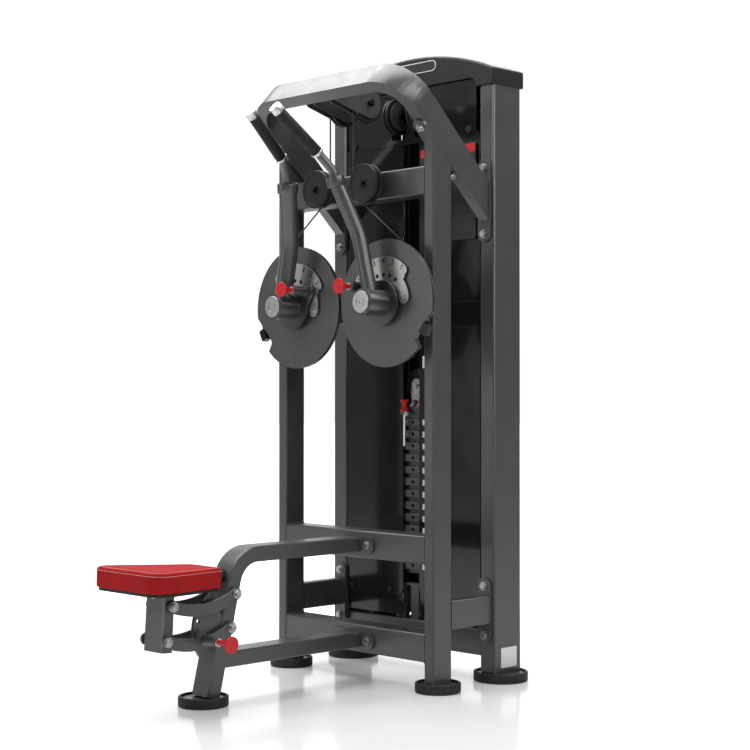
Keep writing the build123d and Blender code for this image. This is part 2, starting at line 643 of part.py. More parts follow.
def make_pulley_brackets():
    """Front cheeks welded under the gantry bar, rear cheeks welded to the tower's head tube."""
    cheeks = []
    under_bar = Plane(gantry_point(0, GANTRY_TUBE), x_dir=(1, 0, 0), z_dir=-GANTRY_PLANE.y_dir)
    bar_space = extrude(under_bar * Rectangle(CUT, CUT), CUT)
    in_front = cutting_block(HEAD_TUBE_Y - HEAD_TUBE_D / 2, Align.MAX)
    for inner in (STRAND_X - 18, STRAND_X + 14):
        cheeks += both_sides(head_bracket_plate(inner, HEAD_FRONT_Y, (-160, 1858)) - bar_space)
        rear = head_bracket_plate(inner, HEAD_REAR_Y, (STACK_Y + 10, HEAD_TUBE_Z))
        cheeks += both_sides(rear & in_front)
    return cheeks


def tangent_angles():
    """Angles, in the cable plane, where the cable leaves the crossbar pulley and meets the disk."""
    dx, dz = DISK_X - BAR_PULLEY_X, DISK_Z - BAR_PULLEY_Z
    heading = degrees(atan2(dz, dx) + asin((PULLEY_R + WRAP_R) / hypot(dx, dz)))
    return heading - 90, heading + 90


LEAVE_PULLEY, MEET_DISK = tangent_angles()


def in_cable_plane(point):
    return (point[0], CABLE_Y, point[1])


def on_bar_pulley(angle):
    return in_cable_plane(on_circle(BAR_PULLEY_X, BAR_PULLEY_Z, PULLEY_R, angle))


def cable_run():
    """One cable from its disk, under the crossbar pulley, up and back over the head pulleys."""
    off_pulley = on_bar_pulley(LEAVE_PULLEY)
    up = (STRAND_X, CABLE_Y, BAR_PULLEY_Z)
    head_front = (STRAND_X, CABLE_Y, HEAD_Z)
    slope = PULLEY_R * (1 - cos(radians(45)))
    front_over = (STRAND_X, CABLE_Y + slope, HEAD_Z + PULLEY_R - slope)
    front_top = (STRAND_X, HEAD_FRONT_Y, HEAD_Z + PULLEY_R)
    rear_top = (STRAND_X, HEAD_REAR_Y, HEAD_Z + PULLEY_R)
    rear_over = (STRAND_X, STACK_Y - slope, HEAD_Z + PULLEY_R - slope)
    path = Wire([
        Edge.make_line(in_cable_plane(on_disk(WRAP_R, MEET_DISK)), off_pulley),
        Edge.make_three_point_arc(off_pulley, on_bar_pulley((LEAVE_PULLEY - 180) / 2), up),
        Edge.make_line(up, head_front),
        Edge.make_three_point_arc(head_front, front_over, front_top),
        Edge.make_line(front_top, rear_top),
        Edge.make_three_point_arc(rear_top, rear_over, (STRAND_X, STACK_Y, HEAD_Z)),
    ])
    return round_sweep(path, CABLE_R)


def make_lift_cable():
    """The two upright strands between the rear head pulleys and the floating pulley."""
    return both_sides(rod((STRAND_X, STACK_Y, CARRIAGE_PULLEY_Z), (STRAND_X, STACK_Y, HEAD_Z), CABLE_R))


def make_cable_loop():
    """Half turn of cable under the floating pulley."""
    left, right = [(side * STRAND_X, STACK_Y, CARRIAGE_PULLEY_Z) for side in (-1, 1)]
    bottom = (0, STACK_Y, CARRIAGE_PULLEY_Z - STRAND_X)
    return round_sweep(Wire([Edge.make_three_point_arc(left, bottom, right)]), CABLE_R)


# ---------------------------------------------------------------- cam disks

def disk_notch():
    """Saw-tooth cut in the outer lower rim, where the cable is clamped."""
    outside = DISK_R + 12
    points = [(outside, -4), (176, -24), (165, -35), (170, -42), (outside, -46), (outside + 20, -25)]
    return make_face(Polyline(*[on_disk(radius, angle) for radius, angle in points], close=True))


def disk_layer(depth, radius, thickness):
    outline = Pos(DISK_X, DISK_Z) * Circle(radius) - disk_notch()
    return extrude(front_plane(depth) * outline, thickness)


def make_cam_disk():
    """Front plate, grooved core and rear plate on a hub that runs on its bearings."""
    cheek_t, core_half = 5, 3
    disk = disk_layer(DISK_FRONT + cheek_t, DISK_R, cheek_t)
    disk += disk_layer(CABLE_Y + core_half, WRAP_R - CABLE_R - 0.3, 2 * core_half)
    disk += disk_layer(CABLE_Y + core_half + cheek_t, DISK_R - 2, cheek_t)
    disk += depth_rod(DISK_X, DISK_Z, -52, -100, SLEEVE_R)
    for angle in PLATE_BOLT_ANGLES:
        x, z = on_disk(HOLE_CIRCLE, angle)
        disk += depth_rod(x, z, DISK_FRONT, NUMBER_PLATE_Y, 9)
        disk -= depth_rod(x, z, DISK_FRONT + 12, NUMBER_PLATE_Y - 1, PLATE_BOLT_R + 0.2)
    return disk - depth_rod(DISK_X, DISK_Z, -40, -110, BEARING_R + RUN_GAP)


def arc_slot(radius, width, half_angle):
    """Curved slot round the disk's middle, centred on the number plate."""
    ends = [on_disk(radius, PLATE_MIDDLE + side * half_angle) for side in (-1, 1)]
    return SlotArc(ThreePointArc(ends[0], on_disk(radius, PLATE_MIDDLE), ends[1]), width)


def make_number_plate():
    """Crescent with six start-position holes and a wider number band above them."""
    outline = arc_slot(HOLE_CIRCLE, 44, 88) + arc_slot(130, 30, 50) + arc_slot(112, 30, 52)
    for i in range(START_COUNT):
        angle = 90 + START_ANGLE - i * START_PITCH
        outline -= Pos(*on_disk(HOLE_CIRCLE, angle)) * Circle(ARM_PIN_R + 1.5)
    for angle in PLATE_BOLT_ANGLES:
        outline -= Pos(*on_disk(HOLE_CIRCLE, angle)) * Circle(PLATE_BOLT_R + 0.2)
    return extrude(front_plane(NUMBER_PLATE_Y) * outline, NUMBER_PLATE_T)


def cable_clamp():
    """Rounded block in the rim's notch."""
    x, z = on_disk(WRAP_R - 1, CLAMP_ANGLE)
    plane = front_plane(CABLE_Y + 10) * Pos(x, z) * Rot(0, 0, CLAMP_ANGLE)
    block = extrude(plane * RectangleRounded(24, 38, 3), 22)
    round_disk = Pos(DISK_X, DISK_Z) * Circle(DISK_R + 3) - disk_notch()
    return block - extrude(front_plane(CABLE_Y + 15) * round_disk, 30)


def make_disk_fittings():
    """Cable clamp, the cable's wrap round the disk, and the number plate's bolts."""
    wrap_end = CLAMP_ANGLE + 6
    angles = (MEET_DISK, (wrap_end + MEET_DISK) / 2, wrap_end)
    path = Edge.make_three_point_arc(*[in_cable_plane(on_disk(WRAP_R, angle)) for angle in angles])
    bolts = []
    for angle in PLATE_BOLT_ANGLES:
        x, z = on_disk(HOLE_CIRCLE, angle)
        seat = (x, NUMBER_PLATE_Y - NUMBER_PLATE_T, z)
        bolts.append(hex_bolt(seat, (0, -1, 0), 10, shank_r=PLATE_BOLT_R, head=7, washer_r=9))
    return [cable_clamp() + round_sweep(Wire([path]), CABLE_R), *bolts]


def make_disk_axles():
    """Fixed axle for each disk and its arm, welded to a round plate on the crossbar."""
    shaft = depth_rod(DISK_X, DISK_Z, BAR_FRONT + 8, -192, AXLE_R)
    return both_sides(shaft + depth_rod(DISK_X, DISK_Z, BAR_FRONT, BAR_FRONT - FLANGE, 50))


def make_disk_bearings():
    """Bearing rings on the axles: two in each disk hub and two in each arm sleeve."""
    rings = []
    for depth in BEARING_DEPTHS:
        start, end = (DISK_X, depth, DISK_Z), (DISK_X, depth - BEARING_W, DISK_Z)
        rings += both_sides(ring(start, end, BEARING_R, AXLE_R))
    return rings


# ---------------------------------------------------------------- arms and handles

PIN_X, PIN_Z = on_disk(HOLE_CIRCLE, 90 + START_ANGLE)


def arm_section(start, way, wide, deep):
    """Oval section of the arm, with its long side across the machine."""
    return Plane(start, x_dir=(0.8, -0.6, 0.1), z_dir=way) * Ellipse(wide / 2, deep / 2)


def pin_housing_flange():
    """Lobed flange behind the sleeve that carries the pin's housing."""
    lobe = make_hull((Pos(DISK_X, DISK_Z) * Circle(60) + Pos(PIN_X, PIN_Z) * Circle(24)).edges())
    return extrude(front_plane(SLEEVE_BACK) * (Pos(DISK_X, DISK_Z) * Circle(70) + lobe), 10)


def make_arm():
    """Sleeve and flange on the axle, bent oval tube, and the collar at its top."""
    path = FilletPolyline(*ARM_PATH, radius=190)
    arm = sweep(arm_section(path @ 0, path % 0, ARM_WIDE, ARM_DEEP), path=path)
    collar = arm_section(COLLAR_LOW, COLLAR_WAY, ARM_WIDE + COLLAR_RIM, ARM_DEEP + COLLAR_RIM)
    arm += extrude(collar, (COLLAR_HIGH - COLLAR_LOW).length)
    recess_floor = COLLAR_HIGH - COLLAR_WAY * COLLAR_RECESS
    arm -= extrude(arm_section(recess_floor, COLLAR_WAY, ARM_WIDE, ARM_DEEP), 2 * COLLAR_RECESS)
    arm += depth_rod(DISK_X, DISK_Z, SLEEVE_BACK, SLEEVE_FRONT, SLEEVE_R)
    arm += pin_housing_flange()
    arm += depth_rod(PIN_X, PIN_Z, SLEEVE_BACK, ARM_PIN_HOUSING, 17)
    arm += depth_rod(PIN_X, PIN_Z, SLEEVE_BACK, SLEEVE_BACK - 16, 22)
    arm -= depth_rod(DISK_X, DISK_Z, SLEEVE_BACK + 1, SLEEVE_FRONT - 1, BEARING_R + RUN_GAP)
    arm -= depth_rod(PIN_X, PIN_Z, SLEEVE_BACK + 1, ARM_PIN_HOUSING - 1, ARM_PIN_R + RUN_GAP)
    bore_start = COLLAR_LOW - COLLAR_WAY * 12
    return arm - rod(bore_start, bore_start + COLLAR_WAY * 80, HANDLE_R + RUN_GAP)


def make_hub_cap():
    """Turned cap in the sleeve's mouth, with a ring groove and a dimple."""
    face = SLEEVE_FRONT - 7
    cap = depth_rod(DISK_X, DISK_Z, SLEEVE_FRONT + 10, SLEEVE_FRONT, BEARING_R)
    cap += depth_rod(DISK_X, DISK_Z, SLEEVE_FRONT, face, 34)
    cap -= ring((DISK_X, face, DISK_Z), (DISK_X, face + 2, DISK_Z), 18, 13)
    cap -= depth_rod(DISK_X, DISK_Z, face, face + 3, 6)
    cap -= depth_rod(DISK_X, DISK_Z, SLEEVE_FRONT + 10, SLEEVE_FRONT + 4, AXLE_R + 2)
    return fillet(cap.edges().filter_by(GeomType.CIRCLE).sort_by(Axis.Y)[0], 1.0)


def pull_pin(tip, out, housing_end, knob_face, pin_radius):
    """Pin with a silver collar, red stem and red disc knob. Lengths are from the tip, along out."""
    def piece(start, end, radius):
        return rod(tip + out * start, tip + out * end, radius)
    collar_start, stem_start, knob_start = housing_end + 0.5, housing_end + 6, knob_face - KNOB_T
    pin = piece(0, stem_start, pin_radius)
    collar = piece(collar_start, stem_start, PIN_COLLAR_R)
    stem = piece(stem_start, knob_start, STEM_R)
    knob = piece(knob_start, knob_face, KNOB_R)
    return pin + collar + stem + fillet(knob.edges().filter_by(GeomType.CIRCLE), 2.5)


def make_arm_pin():
    tip_depth = NUMBER_PLATE_Y - NUMBER_PLATE_T - PIN_TIP_GAP
    tip = Vector(PIN_X, tip_depth, PIN_Z)
    return pull_pin(tip, Vector(0, -1, 0), tip_depth - ARM_PIN_HOUSING, tip_depth - ARM_PIN_KNOB, ARM_PIN_R)


def make_handle():
    """Bent tube that turns in the arm's collar and carries the grip."""
    base = COLLAR_LOW - COLLAR_WAY * 10
    knee = COLLAR_HIGH + COLLAR_WAY * 18
    elbow = GRIP_LOW - GRIP_WAY * 6
    tip = GRIP_HIGH - GRIP_WAY * 4
    return round_sweep(FilletPolyline(base, knee, elbow, tip, radius=34), HANDLE_R)


def along_grip(distance):
    return GRIP_LOW + GRIP_WAY * distance


def make_grip():
    return ring(along_grip(GRIP_RING), along_grip(GRIP_LENGTH - GRIP_CAP), GRIP_R, HANDLE_R)


def make_grip_rings():
    """Aluminium ring at the foot of the grip and end cap at its top."""
    cap_start, cap_end = along_grip(GRIP_LENGTH - GRIP_CAP), along_grip(GRIP_LENGTH)
    low = ring(along_grip(0), along_grip(GRIP_RING), GRIP_R + 1.5, HANDLE_R)
    cap = rod(cap_start, cap_end, GRIP_R + 1) - rod(cap_start, GRIP_HIGH - GRIP_WAY * 4, HANDLE_R)
    return [low, cap]


# ---------------------------------------------------------------- seat

BEND_CENTRE = (SEAT_BEND_Y, SEAT_ARM_Z - SEAT_BEND_R)


def seat_path():
    """Middle line of the upper arm and the post, from the crossbar to the foot plate."""
    start = (0, BAR_FRONT - FLANGE, SEAT_ARM_Z)
    bend_start = (0, SEAT_BEND_Y, SEAT_ARM_Z)
    turn = 90 - SEAT_POST_LEAN
    middle = on_circle(*BEND_CENTRE, SEAT_BEND_R, 90 + turn / 2)
    end = on_circle(*BEND_CENTRE, SEAT_BEND_R, 90 + turn)
    lean = radians(SEAT_POST_LEAN)
    bottom = (end[0] - (end[1] - BASE_TOP) * sin(lean) / cos(lean), BASE_TOP)
    return Wire([
        Edge.make_line(start, bend_start),
        Edge.make_three_point_arc(bend_start, (0, *middle), (0, *end)),
        Edge.make_line((0, *end), (0, *bottom)),
    ])


def seat_pivots():
    """The four link pivots: post upper, post lower, carrier upper and carrier lower."""
    upper = Vector(0, *PIVOT_UPPER)
    offset, reach = Vector(0, *PIVOT_OFFSET), Vector(0, *LINK_REACH)
    return upper, upper + offset, upper + reach, upper + offset + reach


POST_UPPER, POST_LOWER, CARRIER_UPPER, CARRIER_LOWER = seat_pivots()


def make_sector():
    """Plate with a row of holes round the lower pivot, for the seat's height pin."""
    centre = (POST_LOWER.Y, POST_LOWER.Z)
    corners = [on_circle(*centre, 2 * SECTOR_R, angle) for angle in (122, 150, 180, 216)]
    outline = Pos(*centre) * Circle(SECTOR_R) & make_face(Polyline(centre, *corners, close=True))
    rise, run = SEAT_PIN[1] - centre[1], SEAT_PIN[0] - centre[0]
    first = degrees(atan2(rise, run)) % 360
    for i in range(4):
        place = on_circle(*centre, hypot(rise, run), first - SECTOR_PITCH * i)
        outline -= Pos(*place) * Circle(SEAT_PIN_R + 0.5)
    return extrude(side_plane(SECTOR_X) * outline, SECTOR_T)


def make_seat_frame():
    """Bent arm and post, lower arm, flanges, foot disc, height sector and link bosses."""
    frame = bent_tube(seat_path(), SEAT_TUBE_W, SEAT_TUBE_H)
    low_start = Plane((0, BAR_FRONT - FLANGE, SEAT_LOW_ARM_Z), x_dir=(1, 0, 0), z_dir=(0, -1, 0))
    frame += tube(low_start, SEAT_TUBE_W, SEAT_TUBE_H, SEAT_LOW_ARM_LENGTH)
    frame += make_sector()
    for height in (SEAT_ARM_Z, SEAT_LOW_ARM_Z):
        plane = front_plane(BAR_FRONT) * Pos(0, height, 0)
        frame += obround_plate(plane, 2 * SEAT_FLANGE_BOLT_X, SEAT_FLANGE_R, angle=0)
    frame += base_disc(0, SEAT_FOOT_Y, SEAT_BASE_R)
    for pivot in (POST_UPPER, POST_LOWER):
        frame -= across_rod(pivot, LINK_OUTER, PIVOT_R)
        for side in (-1, 1):
            inner, outer = side * (SEAT_TUBE_W / 2 - 1), side * (LINK_X - 0.5)
            frame += ring((inner, pivot.Y, pivot.Z), (outer, pivot.Y, pivot.Z), 2 * PIVOT_R, PIVOT_R)
    return frame


def pivot_bolt(pivot):
    """Through pin with a washer and a hex head at each end."""
    half_length = LINK_OUTER + 0.5
    bolt = across_rod(pivot, half_length, PIVOT_R)
    for side in (-1, 1):
        seat = (side * half_length, pivot.Y, pivot.Z)
        bolt += hex_bolt(seat, (side, 0, 0), 5, shank_r=PIVOT_R - 1, head=10, washer_r=15)
    return bolt


def make_frame_bolts():
    """Every hex bolt of the frame, and the link pins in the seat post."""
    bolts = []
    for height in (SEAT_ARM_Z, SEAT_LOW_ARM_Z):
        seat = (SEAT_FLANGE_BOLT_X, BAR_FRONT - FLANGE, height)
        bolts += both_sides(hex_bolt(seat, (0, -1, 0), FLANGE + HOLE_DEPTH))
    for height in COLUMN_BOLTS:
        bolts += both_sides(hex_bolt((GANTRY_X, COLUMN_FRONT - FLANGE, height), (0, -1, 0), FLANGE + 9))
    for along in POST_BOLT_ALONG:
        seat = gantry_point(GANTRY_X, along, -FLANGE)
        bolts += both_sides(hex_bolt(seat, -GANTRY_PLANE.z_dir, FLANGE + 8))
    return bolts + [pivot_bolt(POST_UPPER), pivot_bolt(POST_LOWER)]


def make_carrier_bolts():
    return [pivot_bolt(CARRIER_UPPER), pivot_bolt(CARRIER_LOWER)]


def link_plate(start, end, end_clearance):
    """Sagging link plate between two pivots."""
    middle = ((start.Y + end.Y) / 2, (start.Z + end.Z) / 2 - LINK_SAG)
    outline = SlotArc(ThreePointArc((start.Y, start.Z), middle, (end.Y, end.Z)), LINK_H)
    outline -= Pos(start.Y, start.Z) * Circle(PIVOT_R + RUN_GAP)
    outline -= Pos(end.Y, end.Z) * Circle(PIVOT_R + end_clearance)
    return extrude(side_plane(LINK_X) * outline, LINK_T)


def make_upper_links():
    return both_sides(link_plate(POST_UPPER, CARRIER_UPPER, RUN_GAP))


def make_lower_links():
    """Lower link plates. The right one carries the housing of the height pin."""
    plate = link_plate(POST_LOWER, CARRIER_LOWER, LOOSE_GAP)

    def pin_rod(start, end, radius):
        return rod((start, *SEAT_PIN), (end, *SEAT_PIN), radius)
    right = plate + pin_rod(LINK_X, LINK_OUTER, 22) + pin_rod(LINK_OUTER - 1, LINK_OUTER + 6, 20)
    right += pin_rod(LINK_OUTER - 1, SEAT_PIN_HOUSING, 15)
    right -= pin_rod(LINK_X - 1, SEAT_PIN_HOUSING + 1, SEAT_PIN_R + RUN_GAP)
    return [right, mirror(plate, about=Plane.YZ)]


def make_seat_pin():
    tip = Vector(SEAT_PIN_TIP, *SEAT_PIN)
    housing, knob = SEAT_PIN_HOUSING - SEAT_PIN_TIP, SEAT_PIN_KNOB - SEAT_PIN_TIP
    return pull_pin(tip, Vector(1, 0, 0), housing, knob, SEAT_PIN_R)


def seat_plane():
    """The pad's underside, tilted so that the nose is a little lower."""
    tilt = radians(PAD_TILT)
    return Plane((0, PAD_MIDDLE, PAD_BOTTOM), x_dir=(1, 0, 0), z_dir=(0, sin(tilt), cos(tilt)))


def make_carrier():
    """Upright box under the pad, open at the bottom, with the pad's mounting plate on top."""
    lean = atan2(CARRIER_UPPER.Y - CARRIER_LOWER.Y, CARRIER_UPPER.Z - CARRIER_LOWER.Z) * 0.3
    middle = (CARRIER_UPPER + CARRIER_LOWER) * 0.5
    start = Plane(middle, x_dir=(1, 0, 0), z_dir=(0, sin(lean), cos(lean)))
    box = tube(start.offset(-82), 2 * CARRIER_HALF, CARRIER_D, CARRIER_H)
    under_plate = seat_plane().offset(-BOARD_T - CARRIER_PLATE_T)
    box -= extrude(under_plate * Rectangle(CUT, CUT), CUT)
    box += extrude(under_plate * Pos(0, -30) * RectangleRounded(110, 170, 10), CARRIER_PLATE_T)
    for pivot in (CARRIER_UPPER, CARRIER_LOWER):
        box -= across_rod(pivot, LINK_OUTER, PIVOT_R)
    return box


def pad_outline(inset):
    """Rounded trapezoid, wide at the user's end and narrow at the nose."""
    half_length = PAD_LENGTH / 2 - inset
    wide, nose = PAD_WIDE / 2 - inset, PAD_NOSE / 2 - inset
    corners = ((-wide, -half_length), (wide, -half_length), (nose, half_length), (-nose, half_length))
    outline = make_face(Polyline(*corners, close=True))
    outline = fillet(outline.vertices().sort_by(Axis.Y)[:2], 46)
    return fillet(outline.vertices().sort_by(Axis.Y)[-2:], 26)


def make_board():
    return extrude(seat_plane().offset(-BOARD_T) * pad_outline(6), BOARD_T)


def make_pad():
    pad = extrude(seat_plane().offset(0.3) * pad_outline(0), PAD_H)
    return fillet(pad.faces().sort_by(Axis.Z)[-1].edges(), 12)


def make_bumper():
    """Rubber stop on the outer face of the seat tube's bend, behind the pad's nose."""
    surface = SEAT_BEND_R + SEAT_TUBE_H / 2
    base = (0, *on_circle(*BEND_CENTRE, surface, BUMPER_ANGLE))
    top = (0, *on_circle(*BEND_CENTRE, surface + BUMPER_H, BUMPER_ANGLE))
    stop = rod(base, top, BUMPER_R)
    return fillet(stop.edges().filter_by(GeomType.CIRCLE).sort_by(Axis.Y)[0], 5)


# ---------------------------------------------------------------- pieces

def save(name, shape):
    """Writes one node, moved so that the machine's middle is at the origin."""
    shapes = shape if isinstance(shape, list) else [shape]
    moved = [Pos(0, -ORIGIN_DEPTH, 0) * solid for piece in shapes for solid in piece.solids()]
    export_step(moved[0] if len(moved) == 1 else Compound(moved), f"parts/{name}.step")


def save_pair(name, shape):
    """Writes a right-hand piece and its mirrored left-hand twin as two nodes."""
    shapes = shape if isinstance(shape, list) else [shape]
    save(name + "_right", shapes)
    save(name + "_left", [mirror(piece, about=Plane.YZ) for piece in shapes])


os.makedirs("parts", exist_ok=True)

save("front_frame", make_front_frame())
save("gantry_arch", make_gantry())
save("tower_columns", make_columns())
save("tower_crossmembers", make_crossmembers())
save("top_cap", make_cap())
save("upper_panel", make_upper_panel())
save("front_shield", make_front_shield())
save("rear_shield", make_rear_shield())
save("placard", make_placard())
save("shield_buttons", make_shield_buttons())
save("rubber_feet", make_feet())
save("frame_bolts", make_frame_bolts())

save("guide_rods", make_guide_rods())
save("weight_plates", make_weight_plates())
save("rubber_stops", [*make_cushions(), make_bumper()])
save("top_plate", make_top_plate())
save("selector_rod", make_selector_rod())
save("selector_pin", make_selector_pin())
save("increment_pin", make_increment_pin())
save("carriage_bracket", make_carriage_bracket())
save("carriage_pulley", carriage_pulley())

save_pair("bar_pulley", bar_pulley())
save_pair("front_head_pulley", head_pulley(HEAD_FRONT_Y))
save_pair("rear_head_pulley", head_pulley(HEAD_REAR_Y))
save("pulley_axles", make_pulley_axles())
save("pulley_brackets", make_pulley_brackets())
save("drive_cables", both_sides(cable_run()))
save("lift_cable", make_lift_cable())
save("cable_loop", make_cable_loop())

save("disk_axles", make_disk_axles())
save("disk_bearings", make_disk_bearings())
save_pair("cam_disk", make_cam_disk())
save_pair("number_plate", make_number_plate())
save_pair("disk_fittings", make_disk_fittings())
save_pair("arm", make_arm())
save_pair("hub_cap", make_hub_cap())
save_pair("arm_pin", make_arm_pin())
save_pair("handle", make_handle())
save_pair("grip", make_grip())
save_pair("grip_rings", make_grip_rings())

save("seat_frame", make_seat_frame())
save("seat_upper_links", make_upper_links())
save("seat_lower_links", make_lower_links())
save("seat_carrier", make_carrier())
save("carrier_bolts", make_carrier_bolts())
save("seat_board", make_board())
save("seat_pad", make_pad())
save("seat_pin", make_seat_pin())
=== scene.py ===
import json
import math

import bpy
from mathutils import Matrix, Vector


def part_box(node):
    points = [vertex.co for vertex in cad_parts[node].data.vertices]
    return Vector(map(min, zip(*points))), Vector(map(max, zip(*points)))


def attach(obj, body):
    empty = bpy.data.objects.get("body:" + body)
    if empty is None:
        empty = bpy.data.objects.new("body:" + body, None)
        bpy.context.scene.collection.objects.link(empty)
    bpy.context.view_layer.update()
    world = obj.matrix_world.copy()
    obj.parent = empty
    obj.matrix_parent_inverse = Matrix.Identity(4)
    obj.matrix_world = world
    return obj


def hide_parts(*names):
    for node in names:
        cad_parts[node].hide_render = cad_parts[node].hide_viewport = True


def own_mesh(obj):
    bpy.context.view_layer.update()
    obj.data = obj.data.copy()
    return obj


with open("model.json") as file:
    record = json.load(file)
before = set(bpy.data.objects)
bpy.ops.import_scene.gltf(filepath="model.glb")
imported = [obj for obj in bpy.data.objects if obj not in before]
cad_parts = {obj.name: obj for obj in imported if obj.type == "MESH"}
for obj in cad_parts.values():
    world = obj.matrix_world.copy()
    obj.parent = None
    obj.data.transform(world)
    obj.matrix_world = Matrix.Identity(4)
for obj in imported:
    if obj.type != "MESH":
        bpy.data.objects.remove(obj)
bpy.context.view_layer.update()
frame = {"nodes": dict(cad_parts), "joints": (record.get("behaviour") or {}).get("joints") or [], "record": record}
CAD = frame["nodes"]
FRAME_DEPTH = 0.282687        # from the origin's plane back to the middle plane of the front frame


# ------------------------------------------------------------------ materials

def set_range(node, low, high, out_low, out_high):
    for name, value in (("From Min", low), ("From Max", high), ("To Min", out_low), ("To Max", out_high)):
        node.inputs[name].default_value = value


class Shader:
    """A principled material built up one node at a time."""

    def __init__(self, name, colour, roughness, metallic=0.0, coat=0.0, specular=0.5):
        self.material = bpy.data.materials.new(name)
        self.material.use_nodes = True
        self.tree = self.material.node_tree
        self.surface = self.tree.nodes["Principled BSDF"]
        self.surface.inputs["Base Color"].default_value = (*colour, 1.0)
        self.surface.inputs["Roughness"].default_value = roughness
        self.surface.inputs["Metallic"].default_value = metallic
        self.surface.inputs["Coat Weight"].default_value = coat
        self.surface.inputs["Coat Roughness"].default_value = 0.08
        self.surface.inputs["Specular IOR Level"].default_value = specular
        self.coordinates = self.add("ShaderNodeTexCoord").outputs["Object"]

    def add(self, kind, **settings):
        node = self.tree.nodes.new(kind)
        for key, value in settings.items():
            setattr(node, key, value)
        return node

    def join(self, source, target):
        self.tree.links.new(source, target)

    def stretched(self, scale):
        mapping = self.add("ShaderNodeMapping")
        mapping.inputs["Scale"].default_value = scale
        self.join(self.coordinates, mapping.inputs["Vector"])
        return mapping.outputs["Vector"]

    def noise(self, scale, detail=3.0, stretch=None, roughness=0.55):
        node = self.add("ShaderNodeTexNoise")
        node.inputs["Scale"].default_value = scale
        node.inputs["Detail"].default_value = detail
        node.inputs["Roughness"].default_value = roughness
        self.join(self.stretched(stretch) if stretch else self.coordinates, node.inputs["Vector"])
        return node.outputs["Fac"]

    def remap(self, value, low, high, out_low, out_high):
        node = self.add("ShaderNodeMapRange")
        set_range(node, low, high, out_low, out_high)
        self.join(value, node.inputs["Value"])
        return node.outputs["Result"]

    def mix(self, factor, first, second):
        """Colour between two colours or colour sockets."""
        node = self.add("ShaderNodeMix", data_type="RGBA")
        for socket, value in ((node.inputs[6], first), (node.inputs[7], second)):
            if isinstance(value, tuple):
                socket.default_value = (*value, 1.0)
            else:
                self.join(value, socket)
        self.join(factor, node.inputs[0])
        return node.outputs[2]

    def math(self, operation, first, second):
        node = self.add("ShaderNodeMath", operation=operation)
        for socket, value in zip(node.inputs, (first, second)):
            if isinstance(value, (int, float)):
                socket.default_value = value
            else:
                self.join(value, socket)
        return node.outputs[0]

    def edges(self, radius):
        """Mask that is 1 along sharp edges."""
        bevel = self.add("ShaderNodeBevel", samples=4)
        bevel.inputs["Radius"].default_value = radius
        geometry = self.add("ShaderNodeNewGeometry")
        dot = self.add("ShaderNodeVectorMath", operation="DOT_PRODUCT")
        self.join(bevel.outputs["Normal"], dot.inputs[0])
        self.join(geometry.outputs["Normal"], dot.inputs[1])
        return self.remap(dot.outputs["Value"], 0.995, 0.86, 0.0, 1.0)

    def colour(self, socket):
        self.join(socket, self.surface.inputs["Base Color"])

    def rough(self, socket):
        self.join(socket, self.surface.inputs["Roughness"])

    def bump(self, height, strength, distance):
        node = self.add("ShaderNodeBump")
        node.inputs["Strength"].default_value = strength
        node.inputs["Distance"].default_value = distance
        self.join(height, node.inputs["Height"])
        previous = self.surface.inputs["Normal"].links
        if previous:
            self.join(previous[0].from_socket, node.inputs["Normal"])
        self.join(node.outputs["Normal"], self.surface.inputs["Normal"])
        return self

    def axis(self, index):
        split = self.add("ShaderNodeSeparateXYZ")
        self.join(self.coordinates, split.inputs[0])
        return split.outputs[index]

    def distance_from_axis(self, axis, centre):
        """Distance from a line through centre, along one of the three axes."""
        shift = self.add("ShaderNodeVectorMath", operation="SUBTRACT")
        shift.inputs[1].default_value = centre
        self.join(self.coordinates, shift.inputs[0])
        flat = self.add("ShaderNodeVectorMath", operation="MULTIPLY")
        flat.inputs[1].default_value = [0.0 if i == axis else 1.0 for i in range(3)]
        self.join(shift.outputs[0], flat.inputs[0])
        length = self.add("ShaderNodeVectorMath", operation="LENGTH")
        self.join(flat.outputs[0], length.inputs[0])
        return length.outputs["Value"]


def powder_coat(name, tone, roughness=0.4, coat=0.0, dark_where=None):
    """Fine orange-peel paint with slight tone changes, and sharp edges made lighter by a painted highlight.

    dark_where gets the shader and returns a mask of the bare black parts."""
    m = Shader(name, (tone, tone, tone * 1.02), roughness, coat=coat, specular=1.0)
    m.surface.inputs["Coat Roughness"].default_value = 0.18
    cloud = m.noise(2.3, 4.0)
    base = m.mix(m.remap(cloud, 0.3, 0.7, 0, 1), (tone * 0.93,) * 3, (tone * 1.08,) * 3)
    speck = m.remap(m.noise(900.0, 2.0), 0.62, 0.75, 0.0, 0.35)
    flecked = m.mix(speck, base, (tone * 1.9,) * 3)
    # Painted highlight: the colour is made lighter along sharp edges, broken up by noise.
    edge_highlight = m.math("MULTIPLY", m.edges(0.0012), m.remap(m.noise(60.0, 4.0), 0.4, 0.65, 0.1, 0.75))
    edge_lit = m.mix(edge_highlight, flecked, (tone * 2.4,) * 3)
    m.colour(m.mix(dark_where(m), edge_lit, (BLACK_STEEL,) * 3) if dark_where else edge_lit)
    m.rough(m.remap(m.noise(18.0, 3.0), 0.3, 0.7, roughness - 0.05, roughness + 0.06))
    return m.bump(m.noise(520.0, 2.0), 0.22, 0.0006).material


def moulded_plastic(name, colour, roughness=0.45, grain=0.15):
    m = Shader(name, colour, roughness, specular=0.3)
    lighter = tuple(c * 1.25 + 0.002 for c in colour)
    m.colour(m.mix(m.remap(m.noise(5.0), 0.3, 0.7, 0, 1), colour, lighter))
    m.rough(m.remap(m.noise(40.0), 0.3, 0.7, roughness - 0.06, roughness + 0.06))
    return m.bump(m.noise(1400.0, 2.0), grain, 0.0004).material


